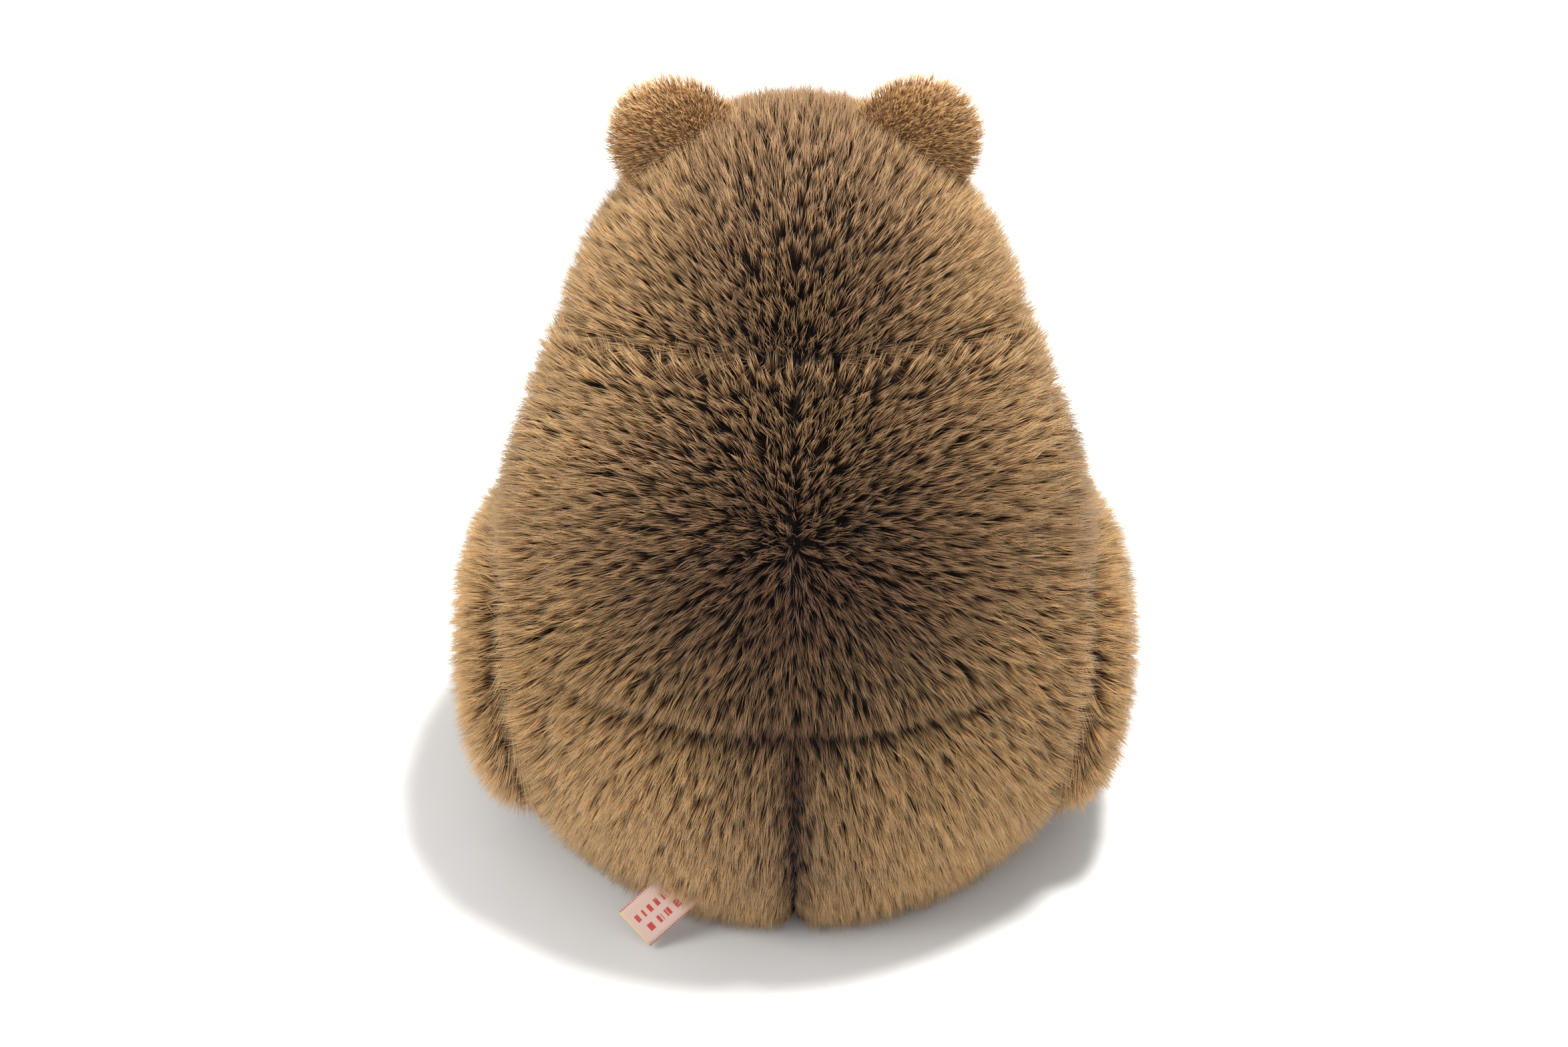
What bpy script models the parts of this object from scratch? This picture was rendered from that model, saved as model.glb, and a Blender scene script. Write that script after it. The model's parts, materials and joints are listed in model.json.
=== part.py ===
"""Jointed teddy bear, seated and hunched, with a turning head, two arms and two legs on fibreboard disc joints.

Metres, +Z up. The bear faces -Y, its left side is +X, and the origin is on the floor under the flat of its seat.
Every soft piece is a plush shell over its own block of stuffing; each joint is a disc and washer on either side of
the two skins, held by a split pin whose ends are curled over.
"""

import math

import bmesh
import bpy
from mathutils import Matrix, Vector

# Fabric, clearances and mesh fineness
SKIN = 0.0030  # plush: woven backing and the dense foot of the pile
GAP = 0.0004  # between pieces that touch
SEAT_GAP = 0.0006  # between the two skins that slide on each other at a joint
SEAM_GAP = 0.0004  # between panels that are sewn together
REACH = 0.40  # size of the blocks that cut panels from a shell

# Torso: an upright egg that leans forward towards the top
TORSO_HALF_WIDTH = 0.097
TORSO_HALF_DEPTH = 0.080
TORSO_LOWER_HEIGHT = 0.130  # from the widest level down to the point of the egg, which the floor cuts off
TORSO_UPPER_HEIGHT = 0.126
TORSO_CENTRE_Z = 0.092
TORSO_CENTRE_Y = 0.012
TORSO_LEAN = 0.022  # how far forward the top lies of the middle
SHOULDER_TAPER = 0.34  # how much narrower the torso is than an egg at the shoulders
RUMP_SEAM_Z = 0.106  # the cross seam between back and rump
SIDE_SEAM_Y = 0.034  # the side seams between the front and the back panels

# Head
HEAD_HALF_WIDTH = 0.063
HEAD_HALF_DEPTH = 0.057
HEAD_HALF_HEIGHT = 0.0545
CHEEK_FULLNESS = 0.24  # how much wider the cheeks are than the crown
HEAD_LIFT = 0.0165  # from the neck joint up to the middle of the head
NECK = Vector((0, -0.0110, 0.1760))
NECK_TILT = math.radians(25)
GUSSET_HALF_WIDTH = 0.017
GUSSET_LOW_Z = 0.012  # the gusset's lower edge, above the middle of the head

# Face and ears, placed by their angles from the middle of the head
MUZZLE_RADII = (0.0255, 0.027, 0.0205)
MUZZLE_PLACE = Vector((0, -0.049, -0.014))
NOSE_RADII = (0.0092, 0.0062, 0.0064)
NOSE_PLACE = Vector((0, -0.0745, -0.0045))
NOSE_STEM_RADIUS = 0.0020
NOSE_STEM_LENGTH = 0.013
EYE_AZIMUTH = math.radians(27)
EYE_ELEVATION = math.radians(14)
EYE_RADIUS = 0.0055
EYE_BULGE = 0.0040
EYE_STEM_RADIUS = 0.0016
EYE_STEM_LENGTH = 0.0095
EYE_WASHER_RADIUS = 0.0062
EYE_WASHER_THICKNESS = 0.0010
EYE_WASHER_BEHIND = 0.0018  # behind the curved skin
EAR_AZIMUTH = math.radians(80)
EAR_ELEVATION = math.radians(50)
EAR_HALF_WIDTH = 0.0198
EAR_HALF_HEIGHT = 0.0205
EAR_THICKNESS = 0.0100
EAR_CUP = 0.16  # how far the rim curls to the front
EAR_LIFT = 0.006  # from the head's surface out to the ear's own middle

# Arms: yaw turns the joint forward, roll tips it up, droop is how far the arm hangs below level
SHOULDER = Vector((0.0520, -0.0330, 0.1270))
SHOULDER_YAW = math.radians(22)
SHOULDER_ROLL = math.radians(9)
ARM_DROOP = math.radians(44)
ARM_LOWEST = math.radians(54)  # as far below level as an arm turns down
ARM_SPLIT = 0.0135  # the seam between inner and outer arm, out from the joint face
PAW_PAD_RADIUS = 0.0115
PAW_PAD_ALONG = 0.060
LIMB_FULLNESS = 2.5  # the limbs' sections: 2 is an ellipse, more is squarer
# along the arm, bottom, top, middle out from the joint face, half thickness
ARM_STATIONS = (
    (-0.0240, 0.0000, 0.0000, 0.0115, 0.0000),
    (-0.0215, -0.0110, 0.0110, 0.0115, 0.0090),
    (-0.0140, -0.0190, 0.0190, 0.0118, 0.0135),
    (0.0040, -0.0215, 0.0215, 0.0122, 0.0155),
    (0.0280, -0.0190, 0.0180, 0.0132, 0.0145),
    (0.0480, -0.0170, 0.0165, 0.0145, 0.0140),
    (0.0640, -0.0175, 0.0170, 0.0155, 0.0145),
    (0.0760, -0.0125, 0.0125, 0.0158, 0.0110),
    (0.0820, 0.0000, 0.0000, 0.0158, 0.0000),
)

# Legs
HIP = Vector((0.0755, -0.0030, 0.0625))
HIP_YAW = math.radians(9)
HIP_ROLL = math.radians(-2.5)
LEG_DROOP = math.radians(4.5)
LEG_SPLIT = 0.0120
SOLE_PAD_DEPTH = 0.0036  # how far the sole pad wraps back along the foot
LEG_STATIONS = (
    (-0.0520, -0.0030, -0.0030, 0.0080, 0.0000),
    (-0.0480, -0.0220, 0.0150, 0.0080, 0.0086),
    (-0.0360, -0.0390, 0.0345, 0.0085, 0.0132),
    (-0.0135, -0.0475, 0.0475, 0.0100, 0.0166),
    (0.0130, -0.0510, 0.0460, 0.0105, 0.0175),
    (0.0400, -0.0520, 0.0270, 0.0110, 0.0165),
    (0.0620, -0.0525, 0.0060, 0.0130, 0.0160),
    (0.0800, -0.0550, 0.0030, 0.0145, 0.0165),
    (0.0900, -0.0545, 0.0060, 0.0150, 0.0168),
    (0.0960, -0.0510, 0.0040, 0.0150, 0.0155),
)

# Joint hardware
DISC_THICKNESS = 0.0025
WASHER_THICKNESS = 0.0008
WASHER_RADIUS = 0.0090
PIN_HOLE_RADIUS = 0.0022
SKIN_HOLE_RADIUS = 0.0028
WIRE_RADIUS = 0.0008
CURL_RADIUS = 0.0030
EYE_LOOP_RADIUS = 0.0026
NECK_DISC_RADIUS = 0.0270
SHOULDER_DISC_RADIUS = 0.0110
HIP_DISC_RADIUS = 0.0200
SHOULDER_BAY = 0.0260  # from the joint's axis to the torso's side around the arm
HIP_BAY_BEHIND = 0.0540
HIP_BAY_ABOVE = 0.0540

# Label: a folded woven ribbon sewn in under the rump
LABEL_WIDTH = 0.0150
LABEL_LENGTH = 0.0340
LABEL_THICKNESS = 0.0009
LABEL_ROOT = Vector((0.0270, 0.0671, 0.0240))
LABEL_HEADING = math.radians(-60.6)  # about +Z, from straight back
LABEL_SLOPE = math.radians(32)  # downwards to its free end
LABEL_TWIST = math.radians(43)  # about its own length

MATERIALS = {
    "plush": ((0.33, 0.20, 0.10), 0.95, 0.0),
    "plush_light": ((0.55, 0.38, 0.21), 0.95, 0.0),
    "pad_cloth": ((0.60, 0.44, 0.28), 0.85, 0.0),
    "stuffing": ((0.90, 0.89, 0.86), 0.95, 0.0),
    "fibreboard": ((0.38, 0.24, 0.13), 0.80, 0.0),
    "steel": ((0.62, 0.62, 0.63), 0.30, 1.0),
    "nose_plastic": ((0.02, 0.02, 0.02), 0.25, 0.0),
    "eye_plastic": ((0.08, 0.03, 0.01), 0.08, 0.0),
    "ribbon": ((0.85, 0.62, 0.56), 0.55, 0.0),
}


# ---- scene helpers ----


def clear_scene():
    for old in list(bpy.data.objects):
        bpy.data.objects.remove(old, do_unlink=True)


def make_materials():
    for name, (colour, roughness, metallic) in MATERIALS.items():
        made = bpy.data.materials.new(name)
        made.use_nodes = True
        shader = made.node_tree.nodes["Principled BSDF"]
        shader.inputs["Base Color"].default_value = (*colour, 1)
        shader.inputs["Roughness"].default_value = roughness
        shader.inputs["Metallic"].default_value = metallic


def add(name, mesh, material, parent=None):
    """Puts a mesh in the scene as a named piece, under the empty of its joint."""
    piece = bpy.data.objects.new(name, mesh)
    bpy.context.collection.objects.link(piece)
    mesh.name = name
    mesh.materials.clear()
    mesh.materials.append(bpy.data.materials[material])
    mesh.shade_smooth()
    mesh.set_sharp_from_angle(angle=math.radians(35))
    if parent:
        piece.parent = parent
    return piece


def joint_empty(name, place):
    empty = bpy.data.objects.new(name, None)
    bpy.context.collection.objects.link(empty)
    empty.location = place
    return empty


def mesh_from(bm):
    """Turns a bmesh into a mesh with its faces pointing out."""
    bmesh.ops.recalc_face_normals(bm, faces=bm.faces)
    mesh = bpy.data.meshes.new("shape")
    bm.to_mesh(mesh)
    bm.free()
    return mesh


def moved(mesh, matrix):
    """A copy of the mesh moved by the matrix, turned the right way out if the matrix mirrors it."""
    copy = mesh.copy()
    copy.transform(matrix)
    if matrix.determinant() < 0:
        copy.flip_normals()
    return copy


def combine(mesh, others, operation):
    """The Boolean of a mesh with others, one after another."""
    target = bpy.data.objects.new("target", mesh)
    bpy.context.collection.objects.link(target)
    tools = []
    for other in others:
        tool = bpy.data.objects.new("tool", other)
        bpy.context.collection.objects.link(tool)
        tools.append(tool)
        modifier = target.modifiers.new("combine", "BOOLEAN")
        modifier.operation = operation
        modifier.solver = "EXACT"
        modifier.object = tool
    graph = bpy.context.evaluated_depsgraph_get()
    result = bpy.data.meshes.new_from_object(target.evaluated_get(graph), depsgraph=graph)
    for used in [target, *tools]:
        bpy.data.objects.remove(used)
    return result


def cut_away(mesh, *others):
    return combine(mesh, others, "DIFFERENCE")


def keep_inside(mesh, *others):
    return combine(mesh, others, "INTERSECT")


# ---- basic shapes ----


def sliced(bm, point, normal):
    """Removes what lies beyond a plane, on the side its normal points to, and closes the cut with a flat face."""
    found = [*bm.verts, *bm.edges, *bm.faces]
    done = bmesh.ops.bisect_plane(bm, geom=found, plane_co=point, plane_no=normal, clear_outer=True, dist=1e-7)
    rim = [edge for edge in done["geom_cut"] if isinstance(edge, bmesh.types.BMEdge) and edge.is_boundary]
    if rim:
        bmesh.ops.holes_fill(bm, edges=rim, sides=0)


def warped_ball(segments, rings, place):
    """A ball whose points are moved by place(unit point)."""
    bm = bmesh.new()
    bmesh.ops.create_uvsphere(bm, u_segments=segments, v_segments=rings, radius=1)
    for vertex in bm.verts:
        vertex.co = place(vertex.co.copy())
    return bm


def ellipsoid(radii, centre, grow=0.0, segments=20, rings=12):
    bm = warped_ball(
        segments, rings, lambda p: centre + Vector([p[i] * (radii[i] + grow) for i in range(3)])
    )
    return mesh_from(bm)


def tube(outer, inner, low, high, segments):
    """A ring about local X, from low to high, with a hole unless inner is 0."""
    bm = bmesh.new()

    def circle(radius, x):
        angles = [2 * math.pi * i / segments for i in range(segments)]
        return [bm.verts.new((x, radius * math.cos(a), radius * math.sin(a))) for a in angles]

    loops = [circle(outer, low), circle(outer, high)]
    if inner:
        loops += [circle(inner, high), circle(inner, low)]
    pairs = zip(loops, loops[1:] + loops[:1]) if inner else [(loops[0], loops[1])]
    for first, second in pairs:
        for i in range(segments):
            j = (i + 1) % segments
            bm.faces.new((first[i], first[j], second[j], second[i]))
    if not inner:
        bm.faces.new(loops[0])
        bm.faces.new(loops[1])
    return mesh_from(bm)


def block(low, high):
    """A box between two corners."""
    bm = bmesh.new()
    bmesh.ops.create_cube(bm, size=1)
    low, high = Vector(low), Vector(high)
    for vertex in bm.verts:
        vertex.co = Vector([low[i] + (vertex.co[i] + 0.5) * (high[i] - low[i]) for i in range(3)])
    return mesh_from(bm)


def smooth_stations(stations, between):
    """More stations on a smooth curve through the given ones."""
    points = [Vector(s) for s in stations]
    padded = [2 * points[0] - points[1], *points, 2 * points[-1] - points[-2]]
    fine = []
    for a, b, c, d in zip(padded, padded[1:], padded[2:], padded[3:]):
        for step in range(between):
            t = step / between
            fine.append(
                0.5 * (2 * b + (c - a) * t + (2 * a - 5 * b + 4 * c - d) * t**2 + (3 * b - a - 3 * c + d) * t**3)
            )
    return [*fine, points[-1]]


def rounded_off(value):
    """A sine or cosine bent so that an ellipse drawn with it becomes squarer."""
    return math.copysign(abs(value) ** (2 / LIMB_FULLNESS), value)


def limb_solid(stations, inset, segments=16, between=1):
    """A limb along local Z as a stack of ellipses, flat at the joint face, drawn in on all sides by inset."""
    start, end = stations[0][0], stations[-1][0]
    squeeze = (end - start - 2 * inset) / (end - start)
    bm = bmesh.new()
    rings = []
    for along, bottom, top, middle, half in smooth_stations(stations, between):
        z = start + inset + (along - start) * squeeze
        tall = (top - bottom) / 2
        if half < 1e-6:
            rings.append([bm.verts.new((middle, (top + bottom) / 2, z))])
            continue
        rings.append([])
        for i in range(segments):
            angle = 2 * math.pi * (i + 0.5) / segments
            x = middle + (half - inset) * rounded_off(math.cos(angle))
            y = (top + bottom) / 2 + (tall - inset) * rounded_off(math.sin(angle))
            rings[-1].append(bm.verts.new((x, y, z)))
    for first, second in zip(rings, rings[1:]):
        for i in range(segments):
            j = (i + 1) % segments
            face = [first[i % len(first)], first[j % len(first)], second[j % len(second)], second[i % len(second)]]
            bm.faces.new(list(dict.fromkeys(face)))
    for ring in (rings[0], rings[-1]):
        if len(ring) > 1:
            bm.faces.new(ring)
    bmesh.ops.recalc_face_normals(bm, faces=bm.faces)
    sliced(bm, Vector((inset, 0, 0)), Vector((-1, 0, 0)))
    return mesh_from(bm)


# ---- joints ----


def joint_frame(yaw, roll, droop):
    """Local X out of the joint face, Y up and Z along the limb, for the left side."""
    outward = Vector((math.cos(yaw) * math.cos(roll), -math.sin(yaw) * math.cos(roll), math.sin(roll)))
    level = Vector((-math.sin(yaw), -math.cos(yaw), 0))
    upward = level.cross(outward)
    along = level * math.cos(droop) - upward * math.sin(droop)
    across = upward * math.cos(droop) + level * math.sin(droop)
    return Matrix((outward, across, along)).transposed().to_4x4()


MIRROR = Matrix.Diagonal((-1, 1, 1, 1))
ARM_FRAME = joint_frame(SHOULDER_YAW, SHOULDER_ROLL, ARM_DROOP)
LEG_FRAME = joint_frame(HIP_YAW, HIP_ROLL, LEG_DROOP)
# The neck's local X points up its axis, and its Z straight back.
NECK_AXIS = Vector((0, -math.sin(NECK_TILT), math.cos(NECK_TILT)))
NECK_FRAME = Matrix((NECK_AXIS, Vector((-1, 0, 0)), NECK_AXIS.cross(Vector((-1, 0, 0))))).transposed().to_4x4()

DISC_TOP = SKIN + GAP + DISC_THICKNESS  # from a skin's outer face to the far side of its disc
WASHER_TOP = DISC_TOP + GAP + WASHER_THICKNESS
CURL_DEPTH = WASHER_TOP + GAP + CURL_RADIUS + 2 * WIRE_RADIUS
LOOP_DEPTH = WASHER_TOP + GAP + 2 * (EYE_LOOP_RADIUS + WIRE_RADIUS)


def placed(matrix, place, side):
    """The matrix that puts a left-side shape at its joint, or mirrors it to the right side (side -1)."""
    whole = Matrix.Translation(place) @ matrix
    return whole if side > 0 else MIRROR @ whole


def split_pin_points():
    """The middle line of the pin's wire: curled end, leg, round the eye, leg, curled end."""
    leg = WIRE_RADIUS + 0.00015
    foot = -(SEAT_GAP + WASHER_TOP + GAP + WIRE_RADIUS)
    eye = WASHER_TOP + GAP + WIRE_RADIUS + EYE_LOOP_RADIUS
    curl = []
    for step in range(9):
        turn = math.radians(190) * (8 - step) / 8
        curl.append((foot - CURL_RADIUS * math.sin(turn), leg + CURL_RADIUS * (1 - math.cos(turn))))
    opening = math.asin(leg / EYE_LOOP_RADIUS)
    loop = []
    for step in range(11):
        turn = opening + (2 * math.pi - 2 * opening) * step / 10
        loop.append((eye - EYE_LOOP_RADIUS * math.cos(turn), EYE_LOOP_RADIUS * math.sin(turn)))
    other_curl = [(x, -y) for x, y in reversed(curl)]
    return [Vector((x, y, 0)) for x, y in [*curl, *loop, *other_curl]]


def add_split_pin(name, matrix, parent):
    curve = bpy.data.curves.new(name, "CURVE")
    curve.dimensions = "3D"
    spline = curve.splines.new("POLY")
    points = [matrix @ p for p in split_pin_points()]
    spline.points.add(len(points) - 1)
    for target, point in zip(spline.points, points):
        target.co = (*point, 1)
    curve.bevel_depth = WIRE_RADIUS
    curve.bevel_resolution = 1
    curve.use_fill_caps = True
    curve.materials.append(bpy.data.materials["steel"])
    pin = bpy.data.objects.new(name, curve)
    bpy.context.collection.objects.link(pin)
    pin.parent = parent


def add_joint_hardware(name, matrix, radius, parent):
    """Two discs, two washers and the split pin, about local X of the matrix."""
    base = -SEAT_GAP
    disc_in = SKIN + GAP
    washer_in = DISC_TOP + GAP
    disc_far = tube(radius, PIN_HOLE_RADIUS, base - DISC_TOP, base - disc_in, 20)
    disc_near = tube(radius, PIN_HOLE_RADIUS, disc_in, DISC_TOP, 20)
    washer_far = tube(WASHER_RADIUS, PIN_HOLE_RADIUS, base - WASHER_TOP, base - washer_in, 12)
    washer_near = tube(WASHER_RADIUS, PIN_HOLE_RADIUS, washer_in, WASHER_TOP, 12)
    add(name + "_disc_torso_side", moved(disc_far, matrix), "fibreboard")
    add(name + "_washer_torso_side", moved(washer_far, matrix), "steel")
    local = Matrix.Translation(-parent.location) @ matrix
    add(name + "_disc_outer", moved(disc_near, local), "fibreboard", parent)
    add(name + "_washer_outer", moved(washer_near, local), "steel", parent)
    add_split_pin(name + "_split_pin", local, parent)


def far_pocket(matrix, radius):
    """The room in the torso's stuffing for a disc, its washer and the pin's curled ends."""
    wide = tube(radius + GAP, 0, -(SEAT_GAP + DISC_TOP + GAP), SKIN, 20)
    deep = tube(WASHER_RADIUS + GAP, 0, -(SEAT_GAP + CURL_DEPTH + GAP), SKIN, 16)
    return [moved(wide, matrix), moved(deep, matrix)]


def near_pocket(matrix, radius):
    """The same room in the stuffing of a limb or of the head."""
    wide = tube(radius + GAP, 0, -SKIN, DISC_TOP + GAP, 20)
    deep = tube(WASHER_RADIUS + GAP, 0, -SKIN, LOOP_DEPTH + GAP, 16)
    return [moved(wide, matrix), moved(deep, matrix)]


def skin_hole(matrix):
    return moved(tube(SKIN_HOLE_RADIUS, 0, -4 * SKIN, 4 * SKIN, 12), matrix)


HIP_MATRICES = {side: placed(LEG_FRAME, HIP, side) for side in (1, -1)}
SHOULDER_MATRICES = {side: placed(ARM_FRAME, SHOULDER, side) for side in (1, -1)}
NECK_MATRIX = Matrix.Translation(NECK) @ NECK_FRAME


# ---- torso ----


def torso_solid(inset):
    """The torso inside its skin's surface by inset, flat at the floor and at each joint."""

    def place(p):
        above = max(p.z, 0)
        forward = TORSO_LEAN * above**2
        taper = 1 - SHOULDER_TAPER * above * (1 - above)
        height = TORSO_UPPER_HEIGHT if p.z > 0 else TORSO_LOWER_HEIGHT
        return Vector(
            (
                p.x * (TORSO_HALF_WIDTH - inset) * taper,
                TORSO_CENTRE_Y - forward + p.y * (TORSO_HALF_DEPTH - inset),
                TORSO_CENTRE_Z + p.z * (height - inset),
            )
        )

    bm = warped_ball(28, 16, place)
    sliced(bm, Vector((0, 0, inset)), Vector((0, 0, -1)))
    sliced(bm, NECK - NECK_AXIS * (SEAT_GAP + inset), NECK_AXIS)
    return cut_away(mesh_from(bm), *limb_bays(inset))


def limb_bays(inset):
    """The room beside the torso that each limb turns in."""
    near = -SEAT_GAP - inset
    around = -SHOULDER_BAY - inset
    shoulder_room = block((near, around, around), (REACH, REACH, REACH))
    shoulder_frame = joint_frame(SHOULDER_YAW, SHOULDER_ROLL, ARM_LOWEST)
    hip_room = block((near, -REACH, -HIP_BAY_BEHIND - inset), (REACH, HIP_BAY_ABOVE + inset, REACH))
    hip_frame = joint_frame(HIP_YAW, HIP_ROLL, 0)
    bays = []
    for side in (1, -1):
        bays.append(moved(shoulder_room, placed(shoulder_frame, SHOULDER, side)))
        bays.append(moved(hip_room, placed(hip_frame, HIP, side)))
    return bays


def torso_regions():
    """Blocks that hold each torso panel, with the seam gaps between them."""
    half = SEAM_GAP / 2
    back = SIDE_SEAM_Y + half
    return {
        "torso_front": ((-REACH, -REACH, -REACH), (REACH, SIDE_SEAM_Y - half, REACH)),
        "torso_back_left": ((half, back, RUMP_SEAM_Z + half), (REACH, REACH, REACH)),
        "torso_back_right": ((-REACH, back, RUMP_SEAM_Z + half), (-half, REACH, REACH)),
        "torso_rump_left": ((half, back, -REACH), (REACH, REACH, RUMP_SEAM_Z - half)),
        "torso_rump_right": ((-REACH, back, -REACH), (-half, REACH, RUMP_SEAM_Z - half)),
    }


def make_torso():
    joints = [NECK_MATRIX, *HIP_MATRICES.values(), *SHOULDER_MATRICES.values()]
    for name, corners in torso_regions().items():
        panel = keep_inside(cut_away(torso_solid(0), torso_solid(SKIN)), block(*corners))
        if name == "torso_front":
            panel = cut_away(panel, *[skin_hole(matrix) for matrix in joints])
        add(name, panel, "plush")
    pockets = far_pocket(NECK_MATRIX, NECK_DISC_RADIUS)
    for side in (1, -1):
        pockets += far_pocket(HIP_MATRICES[side], HIP_DISC_RADIUS)
        pockets += far_pocket(SHOULDER_MATRICES[side], SHOULDER_DISC_RADIUS)
    add("torso_stuffing", cut_away(torso_solid(SKIN + GAP), *pockets), "stuffing")


def make_label():
    heading = Matrix.Rotation(LABEL_HEADING, 4, "Z") @ Matrix.Rotation(-LABEL_SLOPE, 4, "X")
    heading = heading @ Matrix.Rotation(-LABEL_TWIST, 4, "Y")
    half = LABEL_THICKNESS / 2
    ribbon = block((-LABEL_WIDTH / 2, 0, -half), (LABEL_WIDTH / 2, LABEL_LENGTH, half))
    ribbon.transform(Matrix.Translation(LABEL_ROOT) @ heading)
    add("label", cut_away(ribbon, torso_solid(-GAP)), "ribbon")


# ---- head ----

HEAD_CENTRE = NECK + HEAD_LIFT * NECK_AXIS


def head_solid(inset, segments=28, rings=16):
    def place(p):
        fuller = 1 - CHEEK_FULLNESS * p.z
        return HEAD_CENTRE + Vector(
            (
                p.x * (HEAD_HALF_WIDTH - inset) * fuller,
                p.y * (HEAD_HALF_DEPTH - inset),
                p.z * (HEAD_HALF_HEIGHT - inset),
            )
        )

    bm = warped_ball(segments, rings, place)
    sliced(bm, NECK + inset * NECK_AXIS, -NECK_AXIS)
    return mesh_from(bm)


def head_point(azimuth, elevation, side):
    """(place, outward direction) on the head's surface. Azimuth 0 is straight ahead."""
    unit = Vector(
        (
            side * math.sin(azimuth) * math.cos(elevation),
            -math.cos(azimuth) * math.cos(elevation),
            math.sin(elevation),
        )
    )
    fuller = 1 - CHEEK_FULLNESS * unit.z
    radii = (HEAD_HALF_WIDTH * fuller, HEAD_HALF_DEPTH, HEAD_HALF_HEIGHT)
    place = Vector([unit[i] * radii[i] for i in range(3)])
    outward = Vector([unit[i] / radii[i] for i in range(3)]).normalized()
    return HEAD_CENTRE + place, outward


def along_normal(place, outward):
    """A frame with its local X along outward."""
    return Matrix.Translation(place) @ outward.to_track_quat("X", "Z").to_matrix().to_4x4()


EYE_FRAMES = {side: along_normal(*head_point(EYE_AZIMUTH, EYE_ELEVATION, side)) for side in (1, -1)}


def eye_mesh():
    """A domed eye on a stem, about local X, its back face clear of the fabric."""
    bm = bmesh.new()
    segments, rows = 18, 4
    profile = [(-EYE_STEM_LENGTH, EYE_STEM_RADIUS), (GAP, EYE_STEM_RADIUS), (GAP, EYE_RADIUS)]
    for row in range(1, rows):
        lift = math.pi / 2 * row / rows
        profile.append((GAP + EYE_BULGE * math.sin(lift), EYE_RADIUS * math.cos(lift)))
    loops = []
    for x, radius in profile:
        angles = [2 * math.pi * i / segments for i in range(segments)]
        loops.append([bm.verts.new((x, radius * math.cos(a), radius * math.sin(a))) for a in angles])
    for first, second in zip(loops, loops[1:]):
        for i in range(segments):
            j = (i + 1) % segments
            bm.faces.new((first[i], first[j], second[j], second[i]))
    tip = bm.verts.new((GAP + EYE_BULGE, 0, 0))
    for i in range(segments):
        bm.faces.new((loops[-1][i], loops[-1][(i + 1) % segments], tip))
    bm.faces.new(loops[0])
    return mesh_from(bm)


def ear_matrix(side):
    """Local X faces forward, Z points out of the head along the ear."""
    place, outward = head_point(EAR_AZIMUTH, EAR_ELEVATION, side)
    across = outward.cross(Vector((0, -1, 0))).normalized()
    front = across.cross(outward)
    turned = Matrix((front, across, outward)).transposed().to_4x4()
    return Matrix.Translation(place + EAR_LIFT * outward) @ turned


def ear_mesh():
    """A flat round cushion, cupped towards the front."""
    bm = warped_ball(
        20,
        10,
        lambda p: Vector((p.z * EAR_THICKNESS / 2, p.x * EAR_HALF_WIDTH, p.y * EAR_HALF_HEIGHT)),
    )
    for vertex in bm.verts:
        vertex.co.x += EAR_CUP * (vertex.co.y**2 + vertex.co.z**2) / EAR_HALF_HEIGHT
    return mesh_from(bm)


def head_regions():
    """Blocks for the gusset, which runs from the muzzle over the crown to the nape, and for the two sides."""
    half = SEAM_GAP / 2
    low = HEAD_CENTRE.z + GUSSET_LOW_Z
    wide = GUSSET_HALF_WIDTH
    gusset = ((-wide + half, -REACH, low + half), (wide - half, REACH, REACH))
    notch = ((-wide - half, -REACH, low - half), (wide + half, REACH, REACH))
    return gusset, notch, half


def make_head(parent):
    back = Matrix.Translation(-parent.location)
    gusset, notch, half = head_regions()
    shell_holes = [skin_hole(NECK_MATRIX)]
    for frame in EYE_FRAMES.values():
        shell_holes.append(moved(tube(EYE_STEM_RADIUS + GAP, 0, -4 * SKIN, 4 * SKIN, 12), frame))

    def finish(name, mesh):
        add(name, moved(cut_away(mesh, head_solid(SKIN), *shell_holes), back), "plush", parent)

    finish("head_gusset", keep_inside(head_solid(0), block(*gusset)))
    for name, low, high in (("head_left", half, REACH), ("head_right", -REACH, -half)):
        mesh = keep_inside(head_solid(0), block((low, -REACH, -REACH), (high, REACH, REACH)))
        finish(name, cut_away(mesh, block(*notch)))

    pockets = near_pocket(NECK_MATRIX, NECK_DISC_RADIUS)
    for frame in EYE_FRAMES.values():
        pockets.append(moved(tube(EYE_WASHER_RADIUS + GAP, 0, -EYE_STEM_LENGTH - GAP, SKIN, 14), frame))
    stuffing = cut_away(head_solid(SKIN + GAP), *pockets)
    add("head_stuffing", moved(stuffing, back), "stuffing", parent)
    make_face(parent, back)


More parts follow.
